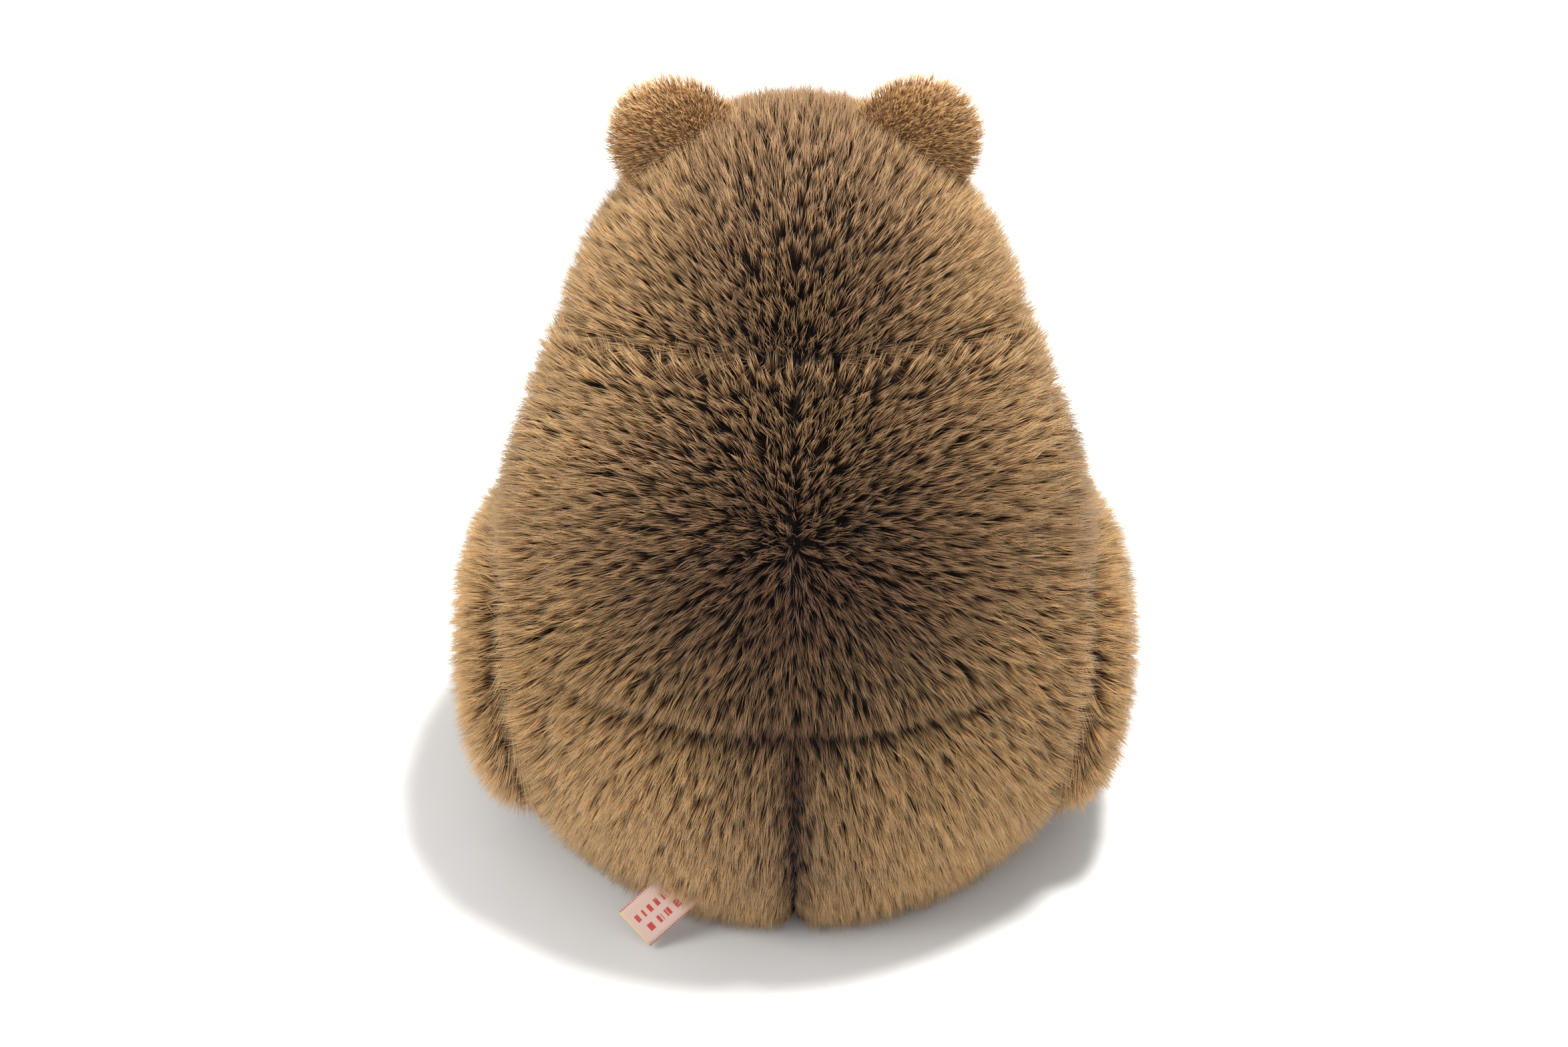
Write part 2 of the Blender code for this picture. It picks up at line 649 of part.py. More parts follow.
def make_face(parent, back):
    nose_hole = Matrix.Translation(HEAD_CENTRE + NOSE_PLACE) @ Matrix.Rotation(math.radians(90), 4, "Z")
    muzzle_middle = HEAD_CENTRE + MUZZLE_PLACE
    muzzle = ellipsoid(MUZZLE_RADII, muzzle_middle)
    hole = moved(tube(NOSE_STEM_RADIUS + GAP, 0, -0.01, NOSE_STEM_LENGTH + GAP, 12), nose_hole)
    muzzle = cut_away(muzzle, head_solid(-GAP, 28, 16), hole)
    add("muzzle", moved(muzzle, back), "plush_light", parent)

    nose = ellipsoid(NOSE_RADII, HEAD_CENTRE + NOSE_PLACE, segments=16, rings=10)
    nose = cut_away(nose, ellipsoid(MUZZLE_RADII, muzzle_middle, grow=GAP))
    stem = moved(tube(NOSE_STEM_RADIUS, 0, -0.002, NOSE_STEM_LENGTH, 10), nose_hole)
    add("nose", moved(combine(nose, [stem], "UNION"), back), "nose_plastic", parent)

    washer_in = SKIN + EYE_WASHER_BEHIND
    for side, name in ((1, "left"), (-1, "right")):
        frame = back @ EYE_FRAMES[side]
        add("eye_" + name, moved(eye_mesh(), frame), "eye_plastic", parent)
        washer = tube(EYE_WASHER_RADIUS, EYE_STEM_RADIUS + GAP, -washer_in - EYE_WASHER_THICKNESS, -washer_in, 14)
        add("eye_washer_" + name, moved(washer, frame), "steel", parent)
        ear = cut_away(moved(ear_mesh(), ear_matrix(side)), head_solid(-GAP))
        add("ear_" + name, moved(ear, back), "plush", parent)


# ---- limbs ----


def limb_half(stations, low, high, end):
    """The part of a limb's shell between two distances from the joint face, up to end along the limb."""
    outside = limb_solid(stations, 0)
    region = block((low, -REACH, -REACH), (high, REACH, end))
    return cut_away(keep_inside(outside, region), limb_solid(stations, SKIN))


def make_limb(name, stations, split, radius, matrix, parent):
    """Inner and outer skin and stuffing, in the joint's frame. Returns the inner skin for its pad."""
    half = SEAM_GAP / 2
    end = stations[-1][0] - SOLE_PAD_DEPTH - half if name.startswith("leg") else REACH
    local = Matrix.Translation(-parent.location) @ matrix
    outer = limb_half(stations, split + half, REACH, end)
    add(name + "_outer", moved(outer, local), "plush", parent)
    inner = cut_away(limb_half(stations, -REACH, split - half, end), skin_hole(Matrix.Identity(4)))
    stuffing = cut_away(limb_solid(stations, SKIN + GAP), *near_pocket(Matrix.Identity(4), radius))
    add(name + "_stuffing", moved(stuffing, local), "stuffing", parent)
    return inner, local


def make_arm(side, name, parent):
    inner, local = make_limb(
        "arm_" + name, ARM_STATIONS, ARM_SPLIT, SHOULDER_DISC_RADIUS, SHOULDER_MATRICES[side], parent
    )
    along = Matrix.Translation((0, 0, PAW_PAD_ALONG))
    pad_cutter = moved(tube(PAW_PAD_RADIUS, 0, -0.01, ARM_SPLIT, 18), along)
    rim_cutter = moved(tube(PAW_PAD_RADIUS + SEAM_GAP, 0, -0.01, ARM_SPLIT + SKIN, 18), along)
    near_face = limb_half(ARM_STATIONS, -REACH, ARM_SPLIT - SEAM_GAP / 2, REACH)
    add("paw_pad_" + name, moved(keep_inside(near_face, pad_cutter), local), "pad_cloth", parent)
    add("arm_" + name + "_inner", moved(cut_away(inner, rim_cutter), local), "plush", parent)


def make_leg(side, name, parent):
    inner, local = make_limb(
        "leg_" + name, LEG_STATIONS, LEG_SPLIT, HIP_DISC_RADIUS, HIP_MATRICES[side], parent
    )
    add("leg_" + name + "_inner", moved(inner, local), "plush", parent)
    toe = LEG_STATIONS[-1][0]
    front = block((-REACH, -REACH, toe - SOLE_PAD_DEPTH + SEAM_GAP / 2), (REACH, REACH, REACH))
    pad = cut_away(keep_inside(limb_solid(LEG_STATIONS, 0), front), limb_solid(LEG_STATIONS, SKIN))
    add("sole_pad_" + name, moved(pad, local), "pad_cloth", parent)


def main():
    clear_scene()
    make_materials()
    make_torso()
    make_label()
    neck = joint_empty("neck_joint", NECK)
    make_head(neck)
    add_joint_hardware("neck", NECK_MATRIX, NECK_DISC_RADIUS, neck)
    for side, name in ((1, "left"), (-1, "right")):
        shoulder = joint_empty("shoulder_" + name + "_joint", SHOULDER_MATRICES[side].translation)
        make_arm(side, name, shoulder)
        add_joint_hardware("shoulder_" + name, SHOULDER_MATRICES[side], SHOULDER_DISC_RADIUS, shoulder)
        hip = joint_empty("hip_" + name + "_joint", HIP_MATRICES[side].translation)
        make_leg(side, name, hip)
        add_joint_hardware("hip_" + name, HIP_MATRICES[side], HIP_DISC_RADIUS, hip)


main()
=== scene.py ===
"""The looks of the jointed teddy bear: soft skins, long tipped pile, face, pads, label and joint hardware."""

import json
import math

import bmesh
import bpy
import numpy as np
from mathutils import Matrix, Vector
from mathutils.bvhtree import BVHTree

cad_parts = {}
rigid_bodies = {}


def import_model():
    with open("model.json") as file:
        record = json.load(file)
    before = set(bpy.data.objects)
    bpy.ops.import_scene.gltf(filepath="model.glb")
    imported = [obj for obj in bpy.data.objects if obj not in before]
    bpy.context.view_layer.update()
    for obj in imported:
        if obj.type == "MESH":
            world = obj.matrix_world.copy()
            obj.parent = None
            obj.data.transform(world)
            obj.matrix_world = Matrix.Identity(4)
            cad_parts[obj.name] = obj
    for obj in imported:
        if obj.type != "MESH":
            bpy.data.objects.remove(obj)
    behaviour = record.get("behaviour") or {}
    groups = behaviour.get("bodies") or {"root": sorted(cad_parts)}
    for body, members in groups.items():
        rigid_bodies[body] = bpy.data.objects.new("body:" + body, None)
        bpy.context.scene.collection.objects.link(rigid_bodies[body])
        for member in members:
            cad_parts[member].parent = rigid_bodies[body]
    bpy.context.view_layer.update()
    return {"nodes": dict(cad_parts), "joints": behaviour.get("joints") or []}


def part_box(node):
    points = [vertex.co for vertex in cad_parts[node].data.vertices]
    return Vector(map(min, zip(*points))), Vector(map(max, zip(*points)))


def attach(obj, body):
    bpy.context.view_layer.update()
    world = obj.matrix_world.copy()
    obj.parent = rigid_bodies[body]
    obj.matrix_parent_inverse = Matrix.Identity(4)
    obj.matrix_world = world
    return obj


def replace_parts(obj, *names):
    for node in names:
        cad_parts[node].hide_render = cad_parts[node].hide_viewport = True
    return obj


# Skins, in metres
SKIN_VOXEL = 0.0040
SKIN_SMOOTHING = 5  # passes
TRIM_VOXEL = 0.0018
TRIM_SMOOTHING = 4
SKIN_THICKNESS = 0.0020
SWELL_LIMIT = 0.0022  # the most that a point may move as the stuffing presses the fabric out
SWELL_FRAMES = 20
SWELL_PRESSURE = 4.0
SEAM_HOLD = 0.0035  # fabric this close to a seam is held by its stitches
RESTING_HEIGHT = 0.002  # fabric below this lies on the floor
FLOOR_CLEARANCE = 0.0004
JOINT_FILL = {"neck": 0.0052, "hip": 0.0070}  # how far the skins swell out where two bodies meet
JOINT_FILL_WIDTH = {"neck": 0.022, "hip": 0.022}
JOINT_FILL_INSIDE = {"neck": 0.030, "hip": 0.032}  # nothing nearer to the joint's axis moves
JOINT_FILL_ONSET = 0.012  # over which the fill sets in, further from the axis

# Pile, in metres
TUFT_SPACING = 0.0020
STRANDS_PER_TUFT = 7
TUFT_RADIUS = 0.0013
STRAND_RADIUS = 0.00012
ROOT_DEPTH = 0.0008
MOST_STRANDS = 19500  # in one piece
SHAVED = 0.0012  # pile shorter than this is left out
SPARSE = {"spacing": 0.0023, "radius": 0.00016}  # where the pile is mostly out of sight
TRIM_PILE = {"spacing": 0.0010, "per_tuft": 3, "radius": 0.00011}
COMB_SCATTER = 0.30  # how much the tufts' directions differ
LEAN_SCATTER = 0.13  # radians, between the strands of a tuft
FIRST_STRETCH = 0.55  # share of a strand's length below its bend
BEND_CLUMP = 0.45  # how far a strand's bend is drawn to its tuft, as a share of its tip
GUARD_SHARE = 0.06  # of the strands: longer, thinner hairs that stand apart from their tuft, made paler by a painted glint
GUARD_LENGTH = 1.20
# How much paler the guard hairs are: a painted glint.
GUARD_GLINT_TONE = 1.5
PILE_LENGTH = 0.0130
SHORT_PILE = 0.0062

BODY_PANELS = {
    "torso": ["torso_front", "torso_back_left", "torso_back_right", "torso_rump_left", "torso_rump_right"],
    "head": ["head_left", "head_right", "head_gusset"],
    "arm_left": ["arm_left_outer", "arm_left_inner", "paw_pad_left"],
    "arm_right": ["arm_right_outer", "arm_right_inner", "paw_pad_right"],
    "leg_left": ["leg_left_outer", "leg_left_inner", "sole_pad_left"],
    "leg_right": ["leg_right_outer", "leg_right_inner", "sole_pad_right"],
}
TRIM = ["ear_left", "ear_right", "muzzle"]
BODY_SEED = 10
TRIM_SEED = 100

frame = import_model()
nodes = frame["nodes"]
joints = {joint["name"]: joint for joint in frame["joints"]}
JOINT_REACH = {"neck": 0.070, "shoulder": 0.030, "hip": 0.070}  # radius of the flat fabric round each joint
EDGE_REACH = {"neck": 0.075, "shoulder": 0.045, "hip": 0.095}  # how far the edge of those faces lies
EDGE_START = 0.002
EDGE_WIDTH = 0.014
EDGE_COMB = 1.8  # how strongly pile at an edge is combed over the joint
EDGE_LEAN = math.radians(20)
EDGE_LENGTH = 0.15  # how much longer it is
EDGE_SHARE = {"neck": 0.25, "shoulder": 1.0, "hip": 1.0}  # how much of all this each joint gets
FACE_DEPTH = 0.0022  # fabric this close to a joint's plane is its flat face
FACE_SQUARENESS = 0.80  # cosine of the angle to the joint's axis


# ---- material helpers ----


class Nodes:
    """A material's node tree, with short ways to add to it."""

    def __init__(self, name):
        self.material = bpy.data.materials.new(name)
        self.material.use_nodes = True
        self.tree = self.material.node_tree
        self.tree.nodes.clear()
        self.output = self.add("ShaderNodeOutputMaterial")

    def add(self, kind, **values):
        node = self.tree.nodes.new(kind)
        for key, value in values.items():
            if hasattr(node, key):
                setattr(node, key, value)
            else:
                node.inputs[key.replace("_", " ")].default_value = value
        return node

    def link(self, source, target):
        self.tree.links.new(source, target)

    def principled(self, colour, roughness, **values):
        shader = self.add("ShaderNodeBsdfPrincipled", Roughness=roughness, **values)
        self.link(colour, shader.inputs["Base Color"])
        return shader

    def coordinates(self):
        return self.add("ShaderNodeTexCoord").outputs["Object"]

    def noise(self, scale, detail=4.0, roughness=0.55, where=None, squeeze=None):
        node = self.add("ShaderNodeTexNoise", Scale=scale, Detail=detail, Roughness=roughness)
        source = where or self.coordinates()
        if squeeze:
            mapping = self.add("ShaderNodeMapping")
            mapping.inputs["Scale"].default_value = squeeze
            self.link(source, mapping.inputs["Vector"])
            source = mapping.outputs["Vector"]
        self.link(source, node.inputs["Vector"])
        return node.outputs["Fac"]

    def ramp(self, factor, stops):
        node = self.add("ShaderNodeValToRGB")
        elements = node.color_ramp.elements
        while len(elements) < len(stops):
            elements.new(0.5)
        for element, (place, colour) in zip(elements, stops):
            element.position = place
            element.color = (*colour, 1)
        self.link(factor, node.inputs["Fac"])
        return node.outputs["Color"]

    def feed(self, value, socket):
        if isinstance(value, bpy.types.NodeSocket):
            self.link(value, socket)
        elif isinstance(value, tuple):
            socket.default_value = (*value, 1)
        else:
            socket.default_value = value

    def mixed(self, factor, first, second, blend="MIX"):
        node = self.add("ShaderNodeMix", data_type="RGBA", blend_type=blend)
        for value, number in ((factor, 0), (first, 6), (second, 7)):
            self.feed(value, node.inputs[number])
        return node.outputs[2]

    def math(self, operation, first, second=0.0):
        node = self.add("ShaderNodeMath", operation=operation)
        for value, socket in zip((first, second), node.inputs):
            self.feed(value, socket)
        return node.outputs[0]

    def bump(self, height, distance, shader, strength=1.0):
        node = self.add("ShaderNodeBump", Distance=distance, Strength=strength)
        self.link(height, node.inputs["Height"])
        self.link(node.outputs["Normal"], shader.inputs["Normal"])

    def finish(self, shader):
        self.link(shader, self.output.inputs["Surface"])
        return self.material

    def surface(self, colour, roughness, height, depth, **values):
        """The finished material: one coloured surface with a fine relief."""
        shader = self.principled(colour, roughness, **values)
        self.bump(height, depth, shader)
        return self.finish(shader.outputs["BSDF"])


def fur_material(name, deep, gold):
    """Tipped pile. The mesh's "pile" colours hold: how far along the strand, the tuft's tone, the strand's
    own tone (higher on guard hairs: a painted glint), and how golden the pile is in that region, from deep to
    gold (lowered on the torso by painted shade)."""
    n = Nodes(name)
    attribute = n.add("ShaderNodeAttribute", attribute_name="pile")
    parts = n.add("ShaderNodeSeparateColor")
    n.link(attribute.outputs["Color"], parts.inputs["Color"])
    along, tuft, strand = parts.outputs
    colour = n.mixed(attribute.outputs["Alpha"], n.ramp(along, deep), n.ramp(along, gold))
    tone = n.math("ADD", n.math("MULTIPLY", tuft, 0.50), n.math("MULTIPLY", strand, 0.36))
    tone = n.math("ADD", tone, 0.57)
    level = n.add("ShaderNodeCombineColor")
    for socket in level.inputs[:3]:
        n.link(tone, socket)
    colour = n.mixed(1.0, colour, level.outputs["Color"], "MULTIPLY")
    shader = n.principled(colour, 0.50, Specular_IOR_Level=0.30, Sheen_Weight=0.15, Sheen_Roughness=0.4)
    glow = n.add("ShaderNodeBsdfTranslucent")
    n.link(colour, glow.inputs["Color"])
    mix = n.add("ShaderNodeMixShader")
    mix.inputs["Fac"].default_value = 0.30
    n.link(shader.outputs["BSDF"], mix.inputs[1])
    n.link(glow.outputs["BSDF"], mix.inputs[2])
    return n.finish(mix.outputs["Shader"])


def backing_material(name, dark, light):
    """The woven backing and dense foot of the pile."""
    n = Nodes(name)
    grain = n.noise(2600, 3)
    patches = n.noise(220, 4)
    colour = n.mixed(patches, n.ramp(grain, [(0.35, dark), (0.70, light)]), dark)
    return n.surface(colour, 0.95, grain, 0.0006, Specular_IOR_Level=0.1, Sheen_Weight=0.2)


def suede_material(name, dark, light):
    n = Nodes(name)
    nap = n.noise(900, 6, 0.7)
    strokes = n.noise(60, 3, 0.6, squeeze=(1, 1, 2.5))
    colour = n.ramp(n.math("ADD", n.math("MULTIPLY", nap, 0.45), n.math("MULTIPLY", strokes, 0.55)),
                    [(0.32, dark), (0.68, light)])
    return n.surface(colour, 0.9, nap, 0.0004, Specular_IOR_Level=0.2, Sheen_Weight=0.5, Sheen_Roughness=0.5)


def fibreboard_material():
    n = Nodes("fibreboard")
    fibres = n.noise(1400, 6, 0.7, squeeze=(1, 3, 1))
    blotches = n.noise(120, 3)
    colour = n.mixed(blotches, n.ramp(fibres, [(0.3, (0.20, 0.115, 0.055)), (0.7, (0.46, 0.30, 0.17))]),
                     (0.33, 0.20, 0.11))
    return n.surface(colour, 0.82, fibres, 0.0002, Specular_IOR_Level=0.3)


def steel_material():
    n = Nodes("zinc_plated_steel")
    scratches = n.noise(900, 5, 0.7, squeeze=(1, 12, 1))
    spangle = n.noise(300, 2)
    colour = n.ramp(spangle, [(0.3, (0.42, 0.42, 0.43)), (0.7, (0.68, 0.68, 0.67))])
    shader = n.principled(colour, 0.34, Metallic=1.0)
    spread = n.add("ShaderNodeMapRange", To_Min=0.24, To_Max=0.46)
    n.link(scratches, spread.inputs["Value"])
    n.link(spread.outputs["Result"], shader.inputs["Roughness"])
    n.bump(scratches, 0.00003, shader)
    return n.finish(shader.outputs["BSDF"])


def stuffing_material():
    n = Nodes("stuffing_fibre")
    tangle = n.noise(420, 8, 0.75)
    lumps = n.noise(70, 4)
    colour = n.mixed(lumps, n.ramp(tangle, [(0.3, (0.62, 0.60, 0.55)), (0.7, (0.90, 0.89, 0.86))]),
                     (0.84, 0.82, 0.78))
    return n.surface(colour, 0.95, n.math("ADD", tangle, lumps), 0.002, Sheen_Weight=0.3)


def leather_material():
    n = Nodes("nose_leather")
    pits = n.noise(2600, 5, 0.6)
    colour = n.ramp(pits, [(0.3, (0.006, 0.004, 0.004)), (0.7, (0.022, 0.016, 0.014))])
    return n.surface(colour, 0.28, pits, 0.00012, Coat_Weight=0.3, Coat_Roughness=0.15)


def eye_material():
    """A brown iris with a black pupil, by the "across" attribute: 0 in the middle, 1 at the rim."""
    n = Nodes("eye_glass")
    across = n.add("ShaderNodeAttribute", attribute_name="across").outputs["Fac"]
    flecks = n.noise(1800, 4, 0.7)
    placed = n.math("ADD", across, n.math("MULTIPLY", n.math("SUBTRACT", flecks, 0.5), 0.10))
    colour = n.ramp(placed, [(0.40, (0.002, 0.002, 0.002)), (0.47, (0.13, 0.050, 0.012)),
                             (0.80, (0.075, 0.026, 0.006)), (0.90, (0.004, 0.003, 0.002))])
    shader = n.principled(colour, 0.05, Coat_Weight=1.0, Coat_Roughness=0.02)
    n.bump(flecks, 0.00001, shader, 0.2)
    return n.finish(shader.outputs["BSDF"])


def thread_material():
    n = Nodes("stitching_thread")
    strands = n.noise(2400, 3, 0.6, squeeze=(1, 1, 4))
    colour = n.ramp(strands, [(0.3, (0.008, 0.006, 0.005)), (0.7, (0.045, 0.032, 0.026))])
    return n.surface(colour, 0.6, strands, 0.0002, Sheen_Weight=0.4)


def ribbon_material():
    """Satin ribbon by its UV map: u across it, v along it and back. One edge has red woven dots, and two
    rows of plain woven bars run along it."""
    n = Nodes("woven_ribbon")
    uv = n.add("ShaderNodeUVMap", uv_map="weave").outputs["UV"]
    parts = n.add("ShaderNodeSeparateXYZ")
    n.link(uv, parts.inputs["Vector"])
    across, along, _ = parts.outputs
    satin = n.noise(1.0, 3, 0.6, uv, squeeze=(24, 700, 1))
    base = n.ramp(satin, [(0.3, (0.66, 0.42, 0.34)), (0.7, (0.86, 0.66, 0.58))])
    from_fold = n.math("ABSOLUTE", n.math("SUBTRACT", along, 0.5))
    folded = n.math("LESS_THAN", from_fold, 0.016)
    base = n.mixed(folded, base, (0.78, 0.58, 0.26))
    dots = n.math("GREATER_THAN", n.math("SINE", n.math("MULTIPLY", along, 420.0)), 0.1)
    edge = n.math("GREATER_THAN", n.math("ABSOLUTE", n.math("SUBTRACT", across, 0.5)), 0.47)
    bars = None
    for middle, pace in ((0.30, 95.0), (0.62, 132.0)):
        row = n.math("LESS_THAN", n.math("ABSOLUTE", n.math("SUBTRACT", across, middle)), 0.085)
        wave = n.math("ADD", n.math("SINE", n.math("MULTIPLY", along, pace)),
                      n.math("MULTIPLY", n.math("SINE", n.math("MULTIPLY", along, pace * 2.7)), 0.7))
        step = n.math("MULTIPLY", row, n.math("GREATER_THAN", wave, 0.15))
        bars = step if bars is None else n.math("MAXIMUM", bars, step)
    inside = n.math("MULTIPLY", n.math("GREATER_THAN", from_fold, 0.05), n.math("LESS_THAN", from_fold, 0.40))
    marks = n.math("MAXIMUM", n.math("MULTIPLY", edge, dots), n.math("MULTIPLY", bars, inside))
    colour = n.mixed(marks, base, (0.60, 0.045, 0.035))
    relief = n.math("ADD", satin, n.math("MULTIPLY", marks, 0.6))
    return n.surface(colour, 0.38, relief, 0.00012, Sheen_Weight=0.3, Specular_IOR_Level=0.5)


def floor_material():
    n = Nodes("studio_floor")
    fine = n.noise(40, 4)
    colour = n.ramp(fine, [(0.0, (0.86, 0.86, 0.855)), (1.0, (0.90, 0.90, 0.895))])
    shader = n.principled(colour, 0.75, Specular_IOR_Level=0.15)
    return n.finish(shader.outputs["BSDF"])


# How the pile's colour runs from root to tip
DEEP_PILE = [(0.0, (0.013, 0.005, 0.005)), (0.40, (0.024, 0.009, 0.009)), (0.62, (0.108, 0.044, 0.032)),
             (0.85, (0.26, 0.118, 0.066)), (1.0, (0.40, 0.215, 0.13))]
GOLD_PILE = [(0.0, (0.074, 0.033, 0.016)), (0.20, (0.118, 0.056, 0.025)), (0.45, (0.385, 0.208, 0.086)),
             (0.72, (0.78, 0.500, 0.218)), (1.0, (0.98, 0.74, 0.41))]
EAR_DEEP = [(0.0, (0.30, 0.150, 0.060)), (0.5, (0.50, 0.27, 0.105)), (1.0, (0.72, 0.44, 0.19))]
EAR_GOLD = [(0.0, (0.46, 0.255, 0.105)), (0.4, (0.80, 0.50, 0.215)), (1.0, (1.0, 0.76, 0.43))]
PALE_DEEP = [(0.0, (0.16, 0.085, 0.040)), (1.0, (0.46, 0.30, 0.16))]
PALE_GOLD = [(0.0, (0.30, 0.18, 0.09)), (0.5, (0.66, 0.47, 0.27)), (1.0, (0.88, 0.70, 0.47))]
GOLD = fur_material("pile_tipped", DEEP_PILE, GOLD_PILE)
EAR_FUR = fur_material("pile_ears", EAR_DEEP, EAR_GOLD)
MUZZLE_FUR = fur_material("pile_muzzle", PALE_DEEP, PALE_GOLD)
BACKING = backing_material("plush_backing", (0.012, 0.006, 0.005), (0.045, 0.022, 0.014))
EAR_BACKING = backing_material("ear_backing", (0.28, 0.145, 0.060), (0.50, 0.29, 0.12))
MUZZLE_BACKING = backing_material("muzzle_backing", (0.16, 0.085, 0.040), (0.32, 0.19, 0.09))
SUEDE = suede_material("pad_suede", (0.30, 0.18, 0.095), (0.50, 0.34, 0.20))


# ---- mesh helpers ----


def put(name, data):
    """A new object in the scene."""
    piece = bpy.data.objects.new(name, data)
    bpy.context.scene.collection.objects.link(piece)
    return piece


def show(name, mesh, body, material):
    """A visible piece that rides on a body."""
    piece = put(name, mesh)
    mesh.materials.clear()
    mesh.materials.append(material)
    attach(piece, body)
    return piece


def evaluated_mesh(piece):
    graph = bpy.context.evaluated_depsgraph_get()
    return bpy.data.meshes.new_from_object(piece.evaluated_get(graph), depsgraph=graph)


def arrays(mesh):
    """Vertices, triangles and vertex normals of a mesh."""
    mesh.calc_loop_triangles()
    points = np.empty(len(mesh.vertices) * 3)
    mesh.vertices.foreach_get("co", points)
    normals = np.empty(len(mesh.vertices) * 3)
    mesh.vertices.foreach_get("normal", normals)
    triangles = np.empty(len(mesh.loop_triangles) * 3, np.int64)
    mesh.loop_triangles.foreach_get("vertices", triangles)
    return points.reshape(-1, 3), triangles.reshape(-1, 3), normals.reshape(-1, 3)


def outer_form(names, voxel, smoothing):
    """The outside of several closed solids as one even mesh, without the hollows inside."""
    joined = bmesh.new()
    for name in names:
        joined.from_mesh(nodes[name].data)
    mesh = bpy.data.meshes.new("form")
    joined.to_mesh(mesh)
    joined.free()
    holder = put("form", mesh)
    remesh = holder.modifiers.new("even", "REMESH")
    remesh.mode = "VOXEL"
    remesh.voxel_size = voxel
    bpy.context.view_layer.update()
    even = evaluated_mesh(holder)
    bpy.data.objects.remove(holder)

    bm = bmesh.new()
    bm.from_mesh(even)
    seen, largest = set(), []
    for start in bm.verts:
        if start in seen:
            continue
        seen.add(start)
        group, queue = [start], [start]
        while queue:
            for edge in queue.pop().link_edges:
                for vertex in edge.verts:
                    if vertex not in seen:
                        seen.add(vertex)
                        group.append(vertex)
                        queue.append(vertex)
        if len(group) > len(largest):
            largest = group
    kept = set(largest)
    bmesh.ops.delete(bm, geom=[v for v in bm.verts if v not in kept], context="VERTS")
    for _ in range(smoothing):
        bmesh.ops.smooth_vert(
            bm, verts=bm.verts, factor=0.5, use_axis_x=True, use_axis_y=True, use_axis_z=True
        )
    bm.to_mesh(even)
    bm.free()
    return even


def tree_of(name):
    """A CAD node's surface, ready to be searched."""
    bm = bmesh.new()
    bm.from_mesh(nodes[name].data)
    tree = BVHTree.FromBMesh(bm)
    bm.free()
    return tree


def nearest_panel(mesh, names):
    """For each face, the number of the CAD panel nearest to it, and how much further the next one is."""
    trees = [tree_of(name) for name in names]
    found = []
    for polygon in mesh.polygons:
        distances = [tree.find_nearest(polygon.center)[3] for tree in trees]
        order = sorted(range(len(names)), key=distances.__getitem__)
        margin = distances[order[1]] - distances[order[0]] if len(order) > 1 else 1.0
        found.append((order[0], margin))
    return found


def from_joint(points, joint):
    """A joint's axis, and each point's height along it and offset away from it."""
    axis = np.array(joint["axis"])
    offset = points - np.array(joint["pos_m"])
    height = offset @ axis
    return axis, height, offset - height[:, None] * axis


def joint_faces(points, body, normals=None):
    """True where a point lies on the flat fabric round a joint."""
    flat = np.zeros(len(points), bool)
    for name, joint in joints.items():
        if body not in (joint["parent"], joint["child"]):
            continue
        axis, height, away = from_joint(points, joint)
        radius = np.linalg.norm(away, axis=1)
        reach = JOINT_REACH[name.split("_")[0]]
        facing = True if normals is None else np.abs(normals @ axis) > FACE_SQUARENESS
        flat |= (np.abs(height) < FACE_DEPTH) & (radius < reach) & facing
    return flat


def simulate_swelling(skins):
    """Presses each skin out against its seams, as its stuffing does."""
    scene = bpy.context.scene
    for skin in skins.values():
        cloth = skin["object"].modifiers.new("swell", "CLOTH")
        cloth.settings.use_pressure = True
        cloth.settings.uniform_pressure_force = SWELL_PRESSURE
        cloth.settings.effector_weights.gravity = 0
        cloth.settings.vertex_group_mass = "held"
        cloth.collision_settings.use_collision = False
    for number in range(1, SWELL_FRAMES + 1):
        scene.frame_set(number)
    for skin in skins.values():
        pressed = evaluated_mesh(skin["object"])
        skin["object"].modifiers.clear()
        before, _, _ = arrays(skin["mesh"])
        after, _, _ = arrays(pressed)
        move = after - before
        length = np.linalg.norm(move, axis=1, keepdims=True)
        move *= np.minimum(1, SWELL_LIMIT / np.maximum(length, 1e-9))
        skin["mesh"].vertices.foreach_set("co", (before + move).ravel())
        skin["mesh"].update()
        bpy.data.meshes.remove(pressed)
    scene.frame_set(1)


def filled_joints(points, body):
    """The skin's points, pushed out beside the neck and the hips so that the bodies meet without a groove."""
    for name, joint in joints.items():
        kind = name.split("_")[0]
        if kind not in JOINT_FILL or body not in (joint["parent"], joint["child"]):
            continue
        _, height, radial = from_joint(points, joint)
        near = np.clip(1 - np.abs(height) / JOINT_FILL_WIDTH[kind], 0, 1) ** 1.5
        inside = JOINT_FILL_INSIDE[kind]
        outside = ramp_between(np.linalg.norm(radial, axis=1), inside, inside + JOINT_FILL_ONSET)
        points = points + unit(radial) * (JOINT_FILL[kind] * near * outside)[:, None]
    return points


